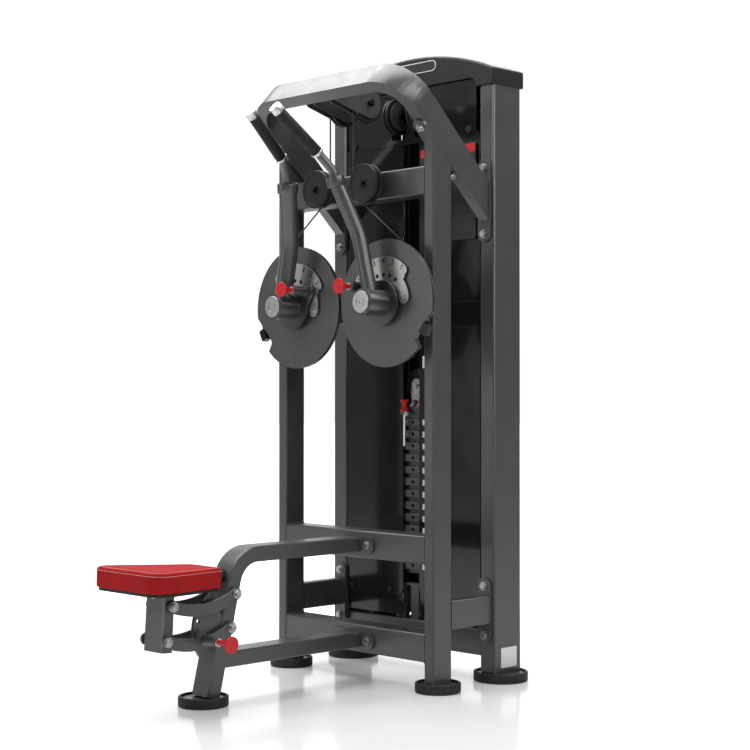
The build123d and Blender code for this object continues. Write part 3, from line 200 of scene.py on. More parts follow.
def gloss_black(name):
    """Glossy acrylic sheet with faint smears."""
    m = Shader(name, (0.006, 0.006, 0.007), 0.09, coat=0.3)
    smear = m.noise(7.0, 5.0, stretch=(1.0, 1.0, 0.35))
    m.colour(m.mix(smear, (0.005, 0.005, 0.006), (0.012, 0.012, 0.013)))
    m.rough(m.remap(smear, 0.35, 0.7, 0.07, 0.2))
    return m.bump(m.noise(3.0, 1.0), 0.05, 0.002).material


def rubber(name, tone=0.012, roughness=0.62):
    m = Shader(name, (tone,) * 3, roughness, specular=0.35)
    m.colour(m.mix(m.remap(m.noise(25.0, 5.0), 0.35, 0.7, 0, 1), (tone * 0.8,) * 3, (tone * 2.0,) * 3))
    m.rough(m.remap(m.noise(90.0), 0.3, 0.7, roughness - 0.08, roughness + 0.1))
    m.bump(m.noise(700.0, 3.0), 0.35, 0.0006)
    return m.material


def zinc(name, dull=0.32, bright=0.6, dark_where=None):
    m = Shader(name, (bright,) * 3, 0.28, metallic=1.0)
    spangle = m.noise(160.0, 3.0)
    plated = m.mix(m.remap(spangle, 0.35, 0.65, 0, 1), (dull,) * 3, (bright,) * 3)
    m.colour(m.mix(dark_where(m), plated, (BLACK_STEEL * 4,) * 3) if dark_where else plated)
    m.rough(m.remap(m.noise(300.0), 0.3, 0.7, 0.2, 0.4))
    return m.bump(m.noise(700.0), 0.12, 0.0003).material


def chrome(name):
    m = Shader(name, (0.75, 0.75, 0.76), 0.08, metallic=1.0)
    streak = m.noise(300.0, 2.0, stretch=(1.0, 1.0, 0.05))
    m.colour(m.mix(streak, (0.6, 0.6, 0.61), (0.85, 0.85, 0.86)))
    m.rough(m.remap(streak, 0.3, 0.7, 0.05, 0.16))
    return m.bump(streak, 0.05, 0.0002).material


def turned(name, colour, axis, centre, lathe=True):
    """Brushed metal: rings about an axis when lathe is true, straight strokes otherwise."""
    m = Shader(name, colour, 0.3, metallic=1.0)
    if lathe:
        rings = m.add("ShaderNodeTexNoise", noise_dimensions="1D")
        rings.inputs["Scale"].default_value = 2600.0
        m.join(m.distance_from_axis(axis, centre), rings.inputs["W"])
        strokes = rings.outputs["Fac"]
    else:
        strokes = m.noise(1800.0, 3.0, stretch=(0.03, 1.0, 1.0))
    dull = tuple(c * 0.72 for c in colour)
    m.colour(m.mix(strokes, dull, colour))
    m.rough(m.remap(strokes, 0.3, 0.7, 0.26, 0.42))
    return m.bump(strokes, 0.2, 0.0002).material


def two_part(name, axis, border, red_above, metal_roughness=0.22):
    """Red moulding on one side of a border along an axis, bright steel on the other."""
    m = Shader(name, (0.5, 0.014, 0.016), 0.3, coat=0.1, specular=0.3)
    side = m.math("GREATER_THAN" if red_above else "LESS_THAN", m.axis(axis), border)
    red = m.mix(m.noise(9.0), (0.44, 0.012, 0.014), (0.56, 0.02, 0.022))
    steel = m.mix(m.noise(240.0, 3.0), (0.5, 0.5, 0.5), (0.75, 0.75, 0.75))
    m.colour(m.mix(side, steel, red))
    m.join(m.math("SUBTRACT", 1.0, side), m.surface.inputs["Metallic"])
    m.rough(m.remap(m.noise(70.0), 0.3, 0.7, metal_roughness, metal_roughness + 0.1))
    return m.bump(m.noise(600.0), 0.06, 0.0003).material


def cable_sheath(name):
    """Clear black sheath with the lay of the strands showing through."""
    m = Shader(name, (0.012, 0.012, 0.012), 0.3, coat=0.3)
    wave = m.add("ShaderNodeTexWave", bands_direction="DIAGONAL")
    wave.inputs["Scale"].default_value = 260.0
    wave.inputs["Distortion"].default_value = 0.6
    m.join(m.coordinates, wave.inputs["Vector"])
    m.colour(m.mix(wave.outputs["Fac"], (0.008, 0.008, 0.008), (0.03, 0.03, 0.032)))
    return m.bump(wave.outputs["Fac"], 0.25, 0.0004).material


def leatherette(name, colour):
    """Red vinyl with a fine pebbled grain and soft sheen."""
    m = Shader(name, colour, 0.6, specular=0.03)
    deep = tuple(c * 0.8 for c in colour)
    cells = m.add("ShaderNodeTexVoronoi", feature="DISTANCE_TO_EDGE")
    cells.inputs["Scale"].default_value = 620.0
    m.join(m.coordinates, cells.inputs["Vector"])
    grain = m.remap(cells.outputs["Distance"], 0.0, 0.35, 0.0, 1.0)
    tone = m.mix(m.remap(m.noise(6.0, 4.0), 0.3, 0.7, 0, 1), deep, colour)
    # Painted shade: the colour is darker in the valleys of the grain, where the bump below is lowest.
    m.colour(m.mix(m.remap(grain, 0.0, 0.4, 0.35, 0.0), tone, deep))
    m.rough(m.remap(m.noise(110.0), 0.3, 0.7, 0.54, 0.68))
    m.bump(grain, 0.3, 0.0004)
    return m.bump(m.noise(30.0, 2.0), 0.12, 0.002).material


def thread(name, colour):
    m = Shader(name, colour, 0.6)
    twist = m.noise(1500.0, 1.0)
    m.colour(m.mix(twist, tuple(c * 0.75 for c in colour), colour))
    return m.bump(twist, 0.4, 0.0003).material


def printed(name, colour, roughness=0.35):
    m = Shader(name, colour, roughness)
    m.colour(m.mix(m.noise(30.0), tuple(c * 0.9 for c in colour), colour))
    m.rough(m.remap(m.noise(60.0), 0.3, 0.7, roughness - 0.05, roughness + 0.08))
    return m.bump(m.noise(1200.0), 0.06, 0.0002).material


FRAME_TONE, ARM_TONE, BLACK_STEEL = 0.04, 0.032, 0.01
SLEEVE_R, HOUSING_R = 0.0427, 0.0224      # an arm's hub sleeve and pin housing, with a little to spare
FLANGE_FRONT = -0.1185                    # front of the arm's flange, from the front frame's middle plane
FITTINGS_R = 0.12                         # the number plate's bolts lie inside this, the cable clamp outside
ARM_KNOB_LENGTH, SEAT_KNOB_LENGTH, SPOOL_LENGTH = 0.045, 0.06, 0.0405     # red ends of the pins


def centre_of(node):
    low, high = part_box(node)
    return (low + high) / 2


def joint(name):
    return next(j for j in frame["joints"] if j["name"] == name)


def arm_blacks(side):
    """Mask of an arm's hub sleeve, flange and pin housing, which are bare black steel."""
    hub, pin = joint(f"{side}_disk_turn")["pos_m"], centre_of(f"arm_pin_{side}")

    def mask(m):
        sleeve = m.math("LESS_THAN", m.distance_from_axis(1, hub), SLEEVE_R)
        housing = m.math("LESS_THAN", m.distance_from_axis(1, pin), HOUSING_R)
        flange = m.math("GREATER_THAN", m.axis(1), FRAME_DEPTH + FLANGE_FRONT)
        return m.math("MAXIMUM", m.math("MAXIMUM", sleeve, housing), flange)
    return mask


def clamp_blacks(side):
    """Mask of the cable clamp on a disk's rim, which is darker than the plated bolts."""
    hub = joint(f"{side}_disk_turn")["pos_m"]
    return lambda m: m.math("GREATER_THAN", m.distance_from_axis(1, hub), FITTINGS_R)


def make_materials():
    return {
        "powder_coat": powder_coat("graphite_powder_coat", FRAME_TONE, 0.36, 0.1),
        "cap_plastic": moulded_plastic("cap_plastic", (0.014, 0.014, 0.015), 0.42),
        "gloss_panel": gloss_black("gloss_acrylic"),
        "rear_panel": powder_coat("rear_panel_coat", 0.03, 0.45),
        "placard_board": printed("placard_board", (0.02, 0.02, 0.021)),
        "black_plastic": moulded_plastic("black_nylon", (0.013, 0.013, 0.0135), 0.4),
        "black_rubber": rubber("black_rubber"),
        "zinc_steel": zinc("zinc_plate"),
        "chromed_rod": chrome("chrome"),
        "stack_paint": powder_coat("stack_paint", 0.03, 0.38),
        "cable_sheath": cable_sheath("cable_sheath"),
        "brushed_plate": turned("brushed_stainless", (0.62, 0.61, 0.58), 1, (0, 0, 0), lathe=False),
        "red_leatherette": leatherette("red_leatherette", (0.38, 0.018, 0.02)),
    }


MATERIALS = make_materials()


def paint(target, material):
    slots = target.data.materials
    slots.clear()
    slots.append(material)


def paint_cad():
    for row in frame["record"]["subparts"]:
        material = MATERIALS.get(row["material_slot"])
        if material:
            paint(CAD[row["node"]], material)
    for side in ("left", "right"):
        for node, tone in ((f"hub_cap_{side}", 0.62), (f"grip_rings_{side}", 0.68)):
            paint(CAD[node], turned(node + "_turned", (tone, tone, tone * 1.01), 1, centre_of(node)))
        low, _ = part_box(f"arm_pin_{side}")
        paint(CAD[f"arm_pin_{side}"], two_part(f"pull_pin_{side}", 1, low.y + ARM_KNOB_LENGTH, False))
        paint(CAD[f"grip_{side}"], rubber(f"grip_rubber_{side}", 0.006, 0.6))
        arm_coat = powder_coat(f"arm_coat_{side}", ARM_TONE, 0.36, 0.4, arm_blacks(side))
        paint(CAD[f"arm_{side}"], arm_coat)
        paint(CAD[f"handle_{side}"], powder_coat(f"handle_coat_{side}", FRAME_TONE, 0.34, 0.5))
        paint(CAD[f"disk_fittings_{side}"], zinc(f"disk_fittings_{side}", dark_where=clamp_blacks(side)))
    _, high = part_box("seat_pin")
    paint(CAD["seat_pin"], two_part("seat_pull_pin", 0, high.x - SEAT_KNOB_LENGTH, True))
    _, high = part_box("increment_pin")
    paint(CAD["increment_pin"], two_part("increment_pin_two_part", 2, high.z - SPOOL_LENGTH, True))
    paint(CAD["selector_pin"], MATERIALS["zinc_steel"])
    paint(CAD["pulley_axles"], zinc("blacked_bolts", 0.03, 0.07))


paint_cad()


WELD_GAP, EDGE_ROUND = 0.00001, 0.0008
HARD_EDGE = 38                # degrees; edges sharper than this are rounded


def soften_cad_edges():
    """Joins the split faces of each CAD mesh and gives hard edges a small real round."""
    for piece in CAD.values():
        weld = piece.modifiers.new("weld", "WELD")
        weld.merge_threshold = WELD_GAP
        bevel = piece.modifiers.new("edge_round", "BEVEL")
        bevel.width = EDGE_ROUND
        bevel.segments = 2
        bevel.limit_method = "ANGLE"
        bevel.angle_limit = math.radians(HARD_EDGE)
        bevel.harden_normals = True


# ------------------------------------------------------------------ building helpers

def mesh_piece(name, vertices, faces, smooth=True):
    mesh = bpy.data.meshes.new(name)
    mesh.from_pydata([tuple(v) for v in vertices], [], faces)
    mesh.update()
    mesh.polygons.foreach_set("use_smooth", [smooth] * len(mesh.polygons))
    piece = bpy.data.objects.new(name, mesh)
    bpy.context.scene.collection.objects.link(piece)
    return piece


def finish_piece(piece, body, material, replaced=()):
    paint(piece, material)
    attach(piece, body)
    if replaced:
        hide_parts(*replaced)


def sweep_points(points, radius, sides):
    """Vertices and faces of a round tube along points, with closed ends."""
    vertices, faces = [], []
    last = len(points) - 1
    for i, point in enumerate(points):
        way = (points[min(i + 1, last)] - points[max(i - 1, 0)]).normalized()
        turn = way.to_track_quat("Z", "Y").to_matrix()
        for k in range(sides):
            angle = math.tau * k / sides
            vertices.append(point + turn @ Vector((radius * math.cos(angle), radius * math.sin(angle), 0)))
    for i in range(last):
        for k in range(sides):
            m = (k + 1) % sides
            faces.append((i * sides + k, i * sides + m, (i + 1) * sides + m, (i + 1) * sides + k))
    faces.append(tuple(range(sides))[::-1])
    faces.append(tuple(last * sides + k for k in range(sides)))
    return vertices, faces


def gather(parts):
    """One vertex list and face list from several."""
    vertices, faces = [], []
    for more_vertices, more_faces in parts:
        faces += [tuple(i + len(vertices) for i in face) for face in more_faces]
        vertices += more_vertices
    return vertices, faces


def slab(outline, depth_front, depth_back, place):
    """Flat plate from a 2-D outline. place turns (x, y, depth) into a point."""
    count = len(outline)
    vertices = [place(x, y, depth_front) for x, y in outline] + [place(x, y, depth_back) for x, y in outline]
    faces = [tuple(range(count)), tuple(range(2 * count - 1, count - 1, -1))]
    faces += [(i, i + count, (i + 1) % count + count, (i + 1) % count) for i in range(count)]
    return vertices, faces


def rounded_outline(half_width, half_height, corner, steps=8):
    points = []
    for cx, cy, start in ((1, 1, 0), (-1, 1, 90), (-1, -1, 180), (1, -1, 270)):
        middle = (cx * (half_width - corner), cy * (half_height - corner))
        for i in range(steps + 1):
            angle = math.radians(start + 90 * i / steps)
            points.append((middle[0] + corner * math.cos(angle), middle[1] + corner * math.sin(angle)))
    return points


def facing_user(centre):
    """Placing function for flat pieces that face -Y, with depth counted towards the user."""
    return lambda x, y, depth: Vector((centre.x + x, centre.y - depth, centre.z + y))


# ------------------------------------------------------------------ seat cushion

PAD_TILT = math.radians(2.2)
PAD_ALONG = Vector((0, math.cos(PAD_TILT), -math.sin(PAD_TILT)))
PAD_UP = Vector((0, math.sin(PAD_TILT), math.cos(PAD_TILT)))
PAD_RING = 168                # points round the cushion
PAD_TOP, PAD_CROWN = 0.0605, 0.0012       # height at the rim of the top, and the extra in its middle
CROWN_STEPS = 15
PUFF_FRAMES, PUFF_LIMIT = 20, 0.0035      # frames of cloth, and how far it may move a point
SIDE_SEAM, TOP_SEAM = (0.0012, 0.050), (0.0105, 0.0596)     # (inset, height) of the two seams
PAD_PROFILE = [
    (0.012, 0.0), (0.005, 0.0003), (0.0022, 0.0022), (0.0014, 0.007), (0.0012, 0.013), (0.0011, 0.020),
    (0.0011, 0.027), (0.0011, 0.034), (0.0011, 0.040), (0.0011, 0.0455), SIDE_SEAM, (0.0017, 0.0535),
    (0.0035, 0.0567), (0.0065, 0.0588), TOP_SEAM, (0.0145, 0.0600), (0.0195, PAD_TOP),
]


def pad_frame():
    """Origin on the cushion's underside, and its outline in the pad's own plane."""
    piece = CAD["seat_pad"]
    points = [v.co for v in piece.data.vertices]
    low = min(p.dot(PAD_UP) for p in points)
    flat = [p for p in points if p.dot(PAD_UP) < low + 0.002]
    ends = min(flat, key=lambda q: q.y), max(flat, key=lambda q: q.y)
    middle = sum(p.dot(PAD_ALONG) for p in ends) / 2
    origin = PAD_UP * low + PAD_ALONG * middle
    outline = convex_hull([(p.x, (p - origin).dot(PAD_ALONG)) for p in flat])
    return origin, resample(outline, PAD_RING)


def convex_hull(points):
    points = sorted(set((round(x, 6), round(y, 6)) for x, y in points))

    def half(ordered):
        chain = []
        for p in ordered:
            while len(chain) > 1:
                (ax, ay), (bx, by) = chain[-2:]
                if (bx - ax) * (p[1] - ay) - (by - ay) * (p[0] - ax) > 0:
                    break
                chain.pop()
            chain.append(p)
        return chain[:-1]
    return half(points) + half(points[::-1])


def resample(outline, count):
    """Evenly spaced points round a closed outline."""
    corners = [Vector(p) for p in outline]
    lengths = [(corners[(i + 1) % len(corners)] - p).length for i, p in enumerate(corners)]
    step = sum(lengths) / count
    points, i, walked = [], 0, 0.0
    for k in range(count):
        target = k * step
        while walked + lengths[i] < target:
            walked += lengths[i]
            i += 1
        share = (target - walked) / lengths[i]
        points.append(corners[i].lerp(corners[(i + 1) % len(corners)], share))
    return points


def inset_ring(outline, distance):
    """Outline moved inwards. It runs anticlockwise."""
    moved = []
    count = len(outline)
    for i, p in enumerate(outline):
        way = (outline[(i + 2) % count] - outline[i - 2]).normalized()
        moved.append(p + Vector((-way.y, way.x)) * distance)
    return moved


def make_cushion():
    """Crowned cushion with pulled-in seams, puffed up by cloth pressure and held at its seams and base."""
    origin, outline = pad_frame()

    def place(p, height):
        return origin + Vector((p.x, 0, 0)) + PAD_ALONG * p.y + PAD_UP * height
    rings = [(inset_ring(outline, inset), height) for inset, height in PAD_PROFILE]
    centre = sum(outline, Vector((0, 0))) / PAD_RING
    innermost = rings[-1][0]
    for i in range(1, CROWN_STEPS):
        share = i / CROWN_STEPS
        height = PAD_TOP + PAD_CROWN * math.sin(share * math.pi / 2)
        rings.append(([p.lerp(centre, share) for p in innermost], height))
    vertices = [place(p, height) for ring, height in rings for p in ring]
    faces = []
    for r in range(len(rings) - 1):
        for i in range(PAD_RING):
            j = (i + 1) % PAD_RING
            a, b = r * PAD_RING, (r + 1) * PAD_RING
            faces.append((a + i, a + j, b + j, b + i))
    top, bottom = len(vertices), len(vertices) + 1
    vertices += [place(centre, PAD_TOP + PAD_CROWN), place(centre, 0.0)]
    last = (len(rings) - 1) * PAD_RING
    for i in range(PAD_RING):
        j = (i + 1) % PAD_RING
        faces.append((last + i, last + j, top))
        faces.append((j, i, bottom))
    cushion = mesh_piece("seat_cushion", vertices, faces)
    rest = [v.co.copy() for v in cushion.data.vertices]
    pinned = cushion.vertex_groups.new(name="held")
    held_rings = [0, 1, 2, PAD_PROFILE.index(SIDE_SEAM), PAD_PROFILE.index(TOP_SEAM)]
    for r in held_rings:
        pinned.add(list(range(r * PAD_RING, (r + 1) * PAD_RING)), 1.0, "REPLACE")
    pinned.add([bottom], 1.0, "REPLACE")
    puff_up(cushion)
    limit_movement(cushion, rest, PUFF_LIMIT)
    subdivision = cushion.modifiers.new("subdivision", "SUBSURF")
    subdivision.levels = subdivision.render_levels = 1
    finish_piece(cushion, "seat_carrier", MATERIALS["red_leatherette"], ("seat_pad",))
    seams = []
    for inset, height in (SIDE_SEAM, TOP_SEAM):
        seams.append([place(p, height) for p in inset_ring(outline, inset)])
    return seams


def puff_up(piece):
    """Cloth under inner pressure, with no gravity, applied after its last frame."""
    cloth = piece.modifiers.new("cloth", "CLOTH")
    settings = cloth.settings
    settings.quality = 6
    settings.mass = 0.3
    settings.use_pressure = True
    settings.uniform_pressure_force = 4.0
    settings.effector_weights.gravity = 0.0
    settings.vertex_group_mass = "held"
    settings.tension_stiffness = settings.compression_stiffness = 60
    settings.shear_stiffness = 40
    settings.bending_stiffness = 4
    cloth.point_cache.frame_start, cloth.point_cache.frame_end = 1, PUFF_FRAMES
    scene = bpy.context.scene
    for number in range(1, PUFF_FRAMES + 1):
        scene.frame_set(number)
    bpy.context.view_layer.objects.active = piece
    bpy.ops.object.modifier_apply(modifier=cloth.name)
    scene.frame_set(1)


def limit_movement(piece, rest, most):
    """Pulls points back that moved further than most from their rest places."""
    for vertex, start in zip(piece.data.vertices, rest):
        moved = vertex.co - start
        if moved.length > most:
            vertex.co = start + moved.normalized() * most


STITCH, STITCH_GAP, STITCH_LIFT, THREAD_R = 0.0046, 0.0014, 0.0004, 0.0008
STITCH_ARC = ((0, -0.6), (0.15, 0.6), (0.5, 1.0), (0.85, 0.6), (1, -0.6))    # (share of length, share of lift)


def make_stitches(seams):
    """Short thread stitches laid along both seams."""
    parts = []
    for ring in seams:
        middle = sum(ring, Vector()) / len(ring)
        length = sum((ring[(i + 1) % len(ring)] - p).length for i, p in enumerate(ring))
        count = int(length / (STITCH + STITCH_GAP))
        pitch = length / count
        walked = [0.0]
        for i, p in enumerate(ring):
            walked.append(walked[-1] + (ring[(i + 1) % len(ring)] - p).length)

        def at(distance):
            distance %= length
            i = max(k for k in range(len(ring)) if walked[k] <= distance)
            share = (distance - walked[i]) / (walked[i + 1] - walked[i])
            p = ring[i].lerp(ring[(i + 1) % len(ring)], share)
            outward = (p - middle).normalized() * 0.6 + PAD_UP * 0.4
            return p, outward
        for k in range(count):
            points = []
            for share, rise in STITCH_ARC:
                p, outward = at(k * pitch + share * STITCH)
                points.append(p + outward * STITCH_LIFT * rise)
            parts.append(sweep_points(points, THREAD_R, sides=6))
    stitches = mesh_piece("seat_stitching", *gather(parts))
    pale = thread("pale_thread", (0.78, 0.38, 0.37))
    finish_piece(stitches, "seat_carrier", pale)


BOARD_DEPTH, SCREW_INSET = 0.0083, 0.026
SCREW_COUNT, SCREW_SIDES = 10, 16
SCREW_PROFILE = ((0.001, 0.0062), (-0.0015, 0.0058), (-0.0035, 0.003))    # (height, radius) of a head's rings


def screw_head(spot):
    vertices, faces = [], []
    for height, radius in SCREW_PROFILE:
        for k in range(SCREW_SIDES):
            angle = math.tau * k / SCREW_SIDES
            across = Vector((radius * math.cos(angle), 0, 0)) + PAD_ALONG * radius * math.sin(angle)
            vertices.append(spot + PAD_UP * height + across)
    for r in range(len(SCREW_PROFILE) - 1):
        a, b = r * SCREW_SIDES, (r + 1) * SCREW_SIDES
        for k in range(SCREW_SIDES):
            m = (k + 1) % SCREW_SIDES
            faces.append((a + k, b + k, b + m, a + m))
    faces.append(tuple(range(len(vertices) - SCREW_SIDES, len(vertices))))
    return vertices, faces


def make_board_screws():
    """Domed screw heads under the seat board, near its edge."""
    origin, outline = pad_frame()
    under = origin - PAD_UP * BOARD_DEPTH
    ring = inset_ring(outline, SCREW_INSET)
    parts = []
    for p in ring[::PAD_RING // SCREW_COUNT]:
        parts.append(screw_head(under + Vector((p.x, 0, 0)) + PAD_ALONG * p.y))
    screws = mesh_piece("seat_board_screws", *gather(parts))
    finish_piece(screws, "seat_carrier", MATERIALS["zinc_steel"])


# ------------------------------------------------------------------ cables

STRAND_STEPS = 24


def make_lift_cable():
    """Two upright strands in place of the CAD lift cable, fixed to the frame."""
    low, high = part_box("lift_cable")
    middle_y = (low.y + high.y) / 2
    radius = (high.y - low.y) / 2
    parts = []
    for x in (low.x + radius, high.x - radius):
        foot, head = Vector((x, middle_y, low.z)), Vector((x, middle_y, high.z))
        points = [foot.lerp(head, i / STRAND_STEPS) for i in range(STRAND_STEPS + 1)]
        parts.append(sweep_points(points, radius, sides=12))
    strands = mesh_piece("lift_cable_strands", *gather(parts))
    finish_piece(strands, "frame", MATERIALS["cable_sheath"], ("lift_cable",))
    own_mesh(strands)


# ------------------------------------------------------------------ printed details

def numeral(text):
    """Flat mesh of a short text, centred, facing -Y when placed."""
    curve = bpy.data.curves.new("numeral", "FONT")
    curve.body = text
    curve.size = NUMERAL_SIZE
    curve.align_x, curve.align_y = "CENTER", "CENTER"
    curve.extrude = 0.0002
    curve.offset = 0.0006
    holder = bpy.data.objects.new("numeral", curve)
    bpy.context.scene.collection.objects.link(holder)
    bpy.context.view_layer.update()
    mesh = bpy.data.meshes.new_from_object(holder)
    bpy.data.objects.remove(holder)
    return mesh


START_ANGLE, START_PITCH, START_COUNT = 54.6, 18.2, 6     # degrees from upright to the first hole, and onwards
NUMERAL_CIRCLE, NUMERAL_SIZE = 0.1305, 0.026


def make_numerals():
    """Start-position numbers 1 to 6 over the holes of each number plate."""
    for side, sign in (("right", 1), ("left", -1)):
        low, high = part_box(f"number_plate_{side}")
        pivot = joint(f"{side}_disk_turn")["pos_m"]
        parts = []
        for i in range(START_COUNT):
            angle = math.radians(START_ANGLE - START_PITCH * i) * sign
            spot = Vector((pivot[0] - NUMERAL_CIRCLE * math.sin(angle), low.y - 0.0001,
                           pivot[2] + NUMERAL_CIRCLE * math.cos(angle)))
            mesh = numeral(str(i + 1))
            turn = Matrix.Rotation(-angle, 4, "Y") @ Matrix.Rotation(math.radians(90), 4, "X")
            mesh.transform(Matrix.Translation(spot) @ turn)
            points = [v.co.copy() for v in mesh.vertices]
            parts.append((points, [tuple(p.vertices) for p in mesh.polygons]))
            bpy.data.meshes.remove(mesh)
        piece = mesh_piece(f"numerals_{side}", *gather(parts), smooth=False)
        finish_piece(piece, f"{side}_disk", MATERIALS["print_dark"])


STICKER_FRONT, STICKER_BACK = 0.0003, -0.0002     # depths of a sticker, from the face it lies on
PRINT_FRONT = 0.0004
BADGE_Z, BADGE_HALF_W, BADGE_HALF_H, BADGE_RIM = 2.004, 0.1245, 0.018, 0.003


def flat_piece(name, outline, front, back, place, material):
    piece = mesh_piece(name, *slab(outline, front, back, place), smooth=False)
    finish_piece(piece, "frame", material)


def make_badge():
    """Blank pill badge on the cap: pale rim round a dark field."""
    low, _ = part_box("top_cap")
    place = facing_user(Vector((0, low.y, BADGE_Z)))
    rim = rounded_outline(BADGE_HALF_W, BADGE_HALF_H, BADGE_HALF_H)
    inner = BADGE_HALF_H - BADGE_RIM
    field = rounded_outline(BADGE_HALF_W - BADGE_RIM, inner, inner)
    flat_piece("badge_rim", rim, 0.0012, -0.0005, place, MATERIALS["print_white"])
    flat_piece("badge_field", field, 0.0016, 0.0010, place, MATERIALS["print_dark"])


HEADER_HALF_H, BOARD_EDGE, BOARD_MARGIN, BOARD_ROWS, RULE_HALF = 0.014, 0.001, 0.008, 4, 0.0005


def bar_outline(x, y, half_width, half_height):
    signs = ((1, 1), (-1, 1), (-1, -1), (1, -1))
    return [(x + e * half_width, y + f * half_height) for e, f in signs]


def make_placard_print():
    """Red header and thin grey rules on the instruction board, with no text."""
    low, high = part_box("placard")
    centre = (low + high) / 2
    half_w, half_h = (high.x - low.x) / 2, (high.z - low.z) / 2
    place = facing_user(Vector((centre.x, low.y, centre.z)))
    rise = half_h - HEADER_HALF_H - BOARD_EDGE
    header = [(x, y + rise) for x, y in rounded_outline(half_w - BOARD_EDGE, HEADER_HALF_H, 0.007)]
    flat_piece("placard_header", header, PRINT_FRONT, STICKER_BACK, place,
               MATERIALS["print_red"])
    top, bottom = half_h - 2 * HEADER_HALF_H - BOARD_MARGIN, BOARD_MARGIN - half_h
    reach = half_w - BOARD_MARGIN
    bars = []
    for r in range(BOARD_ROWS + 1):
        bars.append(bar_outline(0.0, top + (bottom - top) * r / BOARD_ROWS, reach, RULE_HALF))
    for x in (-reach, 0.0, reach):
        bars.append(bar_outline(x, (top + bottom) / 2, RULE_HALF, (top - bottom) / 2))
    parts = [slab(bar, PRINT_FRONT, STICKER_BACK, place) for bar in bars]
    rules = mesh_piece("placard_rules", *gather(parts), smooth=False)
    finish_piece(rules, "frame", MATERIALS["print_grey"])


PLATE_COUNT = 13
STICKER_X, STICKER_HALF_W, STICKER_HALF_H = 0.0645, 0.011, 0.0095
HEADING_Z, HEADING_HALF_H = 1.025, 0.02    # blank heading sticker above the row of weight stickers
# Place and size of the dark sheet that stands in for the shade under the shield.
SHADE_SHEET_LOW, SHADE_SHEET_HIGH, SHADE_SHEET_T, SHADE_SHEET_GAP = 0.176, 0.274, 0.004, 0.0005
SLOT_HALF = 0.038             # half the width of the slot in the shield
LABEL_Z, LABEL_SHIFT = 0.076, 0.006        # height of the label, and its way back from the column's middle
BASE_OVERHANG = 0.044         # how far a column's base disk stands out past the column's side


def make_stickers():
    """Blank weight stickers beside the slot, one for each plate."""
    shield_low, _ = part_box("front_shield")
    plates_low, plates_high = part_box("weight_plates")
    pitch = (plates_high.z - plates_low.z) / PLATE_COUNT
    parts = []
    rows = [(plates_high.z - pitch * (i + 0.35), STICKER_HALF_H) for i in range(PLATE_COUNT)]
    for z, half_height in [*rows, (HEADING_Z, HEADING_HALF_H)]:
        place = facing_user(Vector((STICKER_X, shield_low.y, z)))
        outline = rounded_outline(STICKER_HALF_W, half_height, 0.002, 3)
        parts.append(slab(outline, STICKER_FRONT, STICKER_BACK, place))
    stickers = mesh_piece("weight_stickers", *gather(parts), smooth=False)
    finish_piece(stickers, "frame", MATERIALS["print_white"])


def make_gap_shade_sheet():
    """Dark glossy sheet behind the shield's bottom edge, one length each side of the slot. It is painted shade: it
    closes the gap there and stands in for the shaded inside of the tower.
    """
    _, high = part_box("front_shield")
    half_length = (high.x - SLOT_HALF) / 2
    outline = rounded_outline(half_length, (SHADE_SHEET_HIGH - SHADE_SHEET_LOW) / 2, 0.02, 6)
    rear = high.y + SHADE_SHEET_GAP + SHADE_SHEET_T
    parts = []
    for side in (-1, 1):
        x = side * (SLOT_HALF + half_length)
        place = facing_user(Vector((x, rear, (SHADE_SHEET_LOW + SHADE_SHEET_HIGH) / 2)))
        parts.append(slab(outline, SHADE_SHEET_T, 0.0, place))
    # Painted shade: a dark sheet where the inside of the tower is in shade.
    shade_sheet = mesh_piece("gap_shade_sheet", *gather(parts), smooth=False)
    finish_piece(shade_sheet, "frame", MATERIALS["gloss_panel"])


def make_column_label():
    """Blank label low on the outer face of the right column, above its foot."""
    low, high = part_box("tower_columns")
    centre = Vector((high.x - BASE_OVERHANG, (low.y + high.y) / 2 + LABEL_SHIFT, LABEL_Z))
    outline = rounded_outline(0.038, 0.032, 0.004, 4)

    def place(x, y, depth):
        return centre + Vector((depth, x, y))
    flat_piece("column_label", outline, STICKER_FRONT, STICKER_BACK, place,
               MATERIALS["print_white"])


def make_pieces():
    MATERIALS["print_white"] = printed("print_white", (0.78, 0.78, 0.77))
    MATERIALS["print_dark"] = printed("print_dark", (0.02, 0.02, 0.021))
    MATERIALS["print_grey"] = printed("print_grey", (0.035, 0.035, 0.036))
    MATERIALS["print_red"] = printed("print_red", (0.6, 0.015, 0.02))
    make_stitches(make_cushion())
    make_board_screws()
    make_lift_cable()
    make_numerals()
    make_badge()
    make_placard_print()
    make_stickers()
    make_gap_shade_sheet()
    make_column_label()


# ------------------------------------------------------------------ stage, light and camera

CAMERA_AZIMUTH, CAMERA_PITCH = 45.38, 0.561
SKY_LOW, SKY_HIGH, BACKDROP_GLOW, SEEN_WHITE = 0.2, 0.38, 0.8, 1.05
FLOOR_SIZE = 60.0
FLOOR_LIFT = 0.08             # keeps the floor white in the picture without lighting the machine from below
FADE_START, FADE_END = 1.2, 2.4   # over these distances the floor turns into the white background


def make_floor():
    bpy.ops.mesh.primitive_plane_add(size=FLOOR_SIZE, location=(0, 0, -0.0005))
    floor = bpy.context.active_object
    floor.name = "studio_floor"
    m = Shader("studio_floor", (0.8, 0.8, 0.8), 0.14, specular=0.8)
    m.rough(m.remap(m.noise(4.0), 0.3, 0.7, 0.11, 0.17))
    seen = m.add("ShaderNodeLightPath").outputs["Is Camera Ray"]
    m.surface.inputs["Emission Color"].default_value = (1, 1, 1, 1)
    far = m.remap(m.distance_from_axis(2, (0, 0, 0)), FADE_START, FADE_END, FLOOR_LIFT, 1.0)
    m.join(m.math("MULTIPLY", seen, far), m.surface.inputs["Emission Strength"])
    paint(floor, m.material)


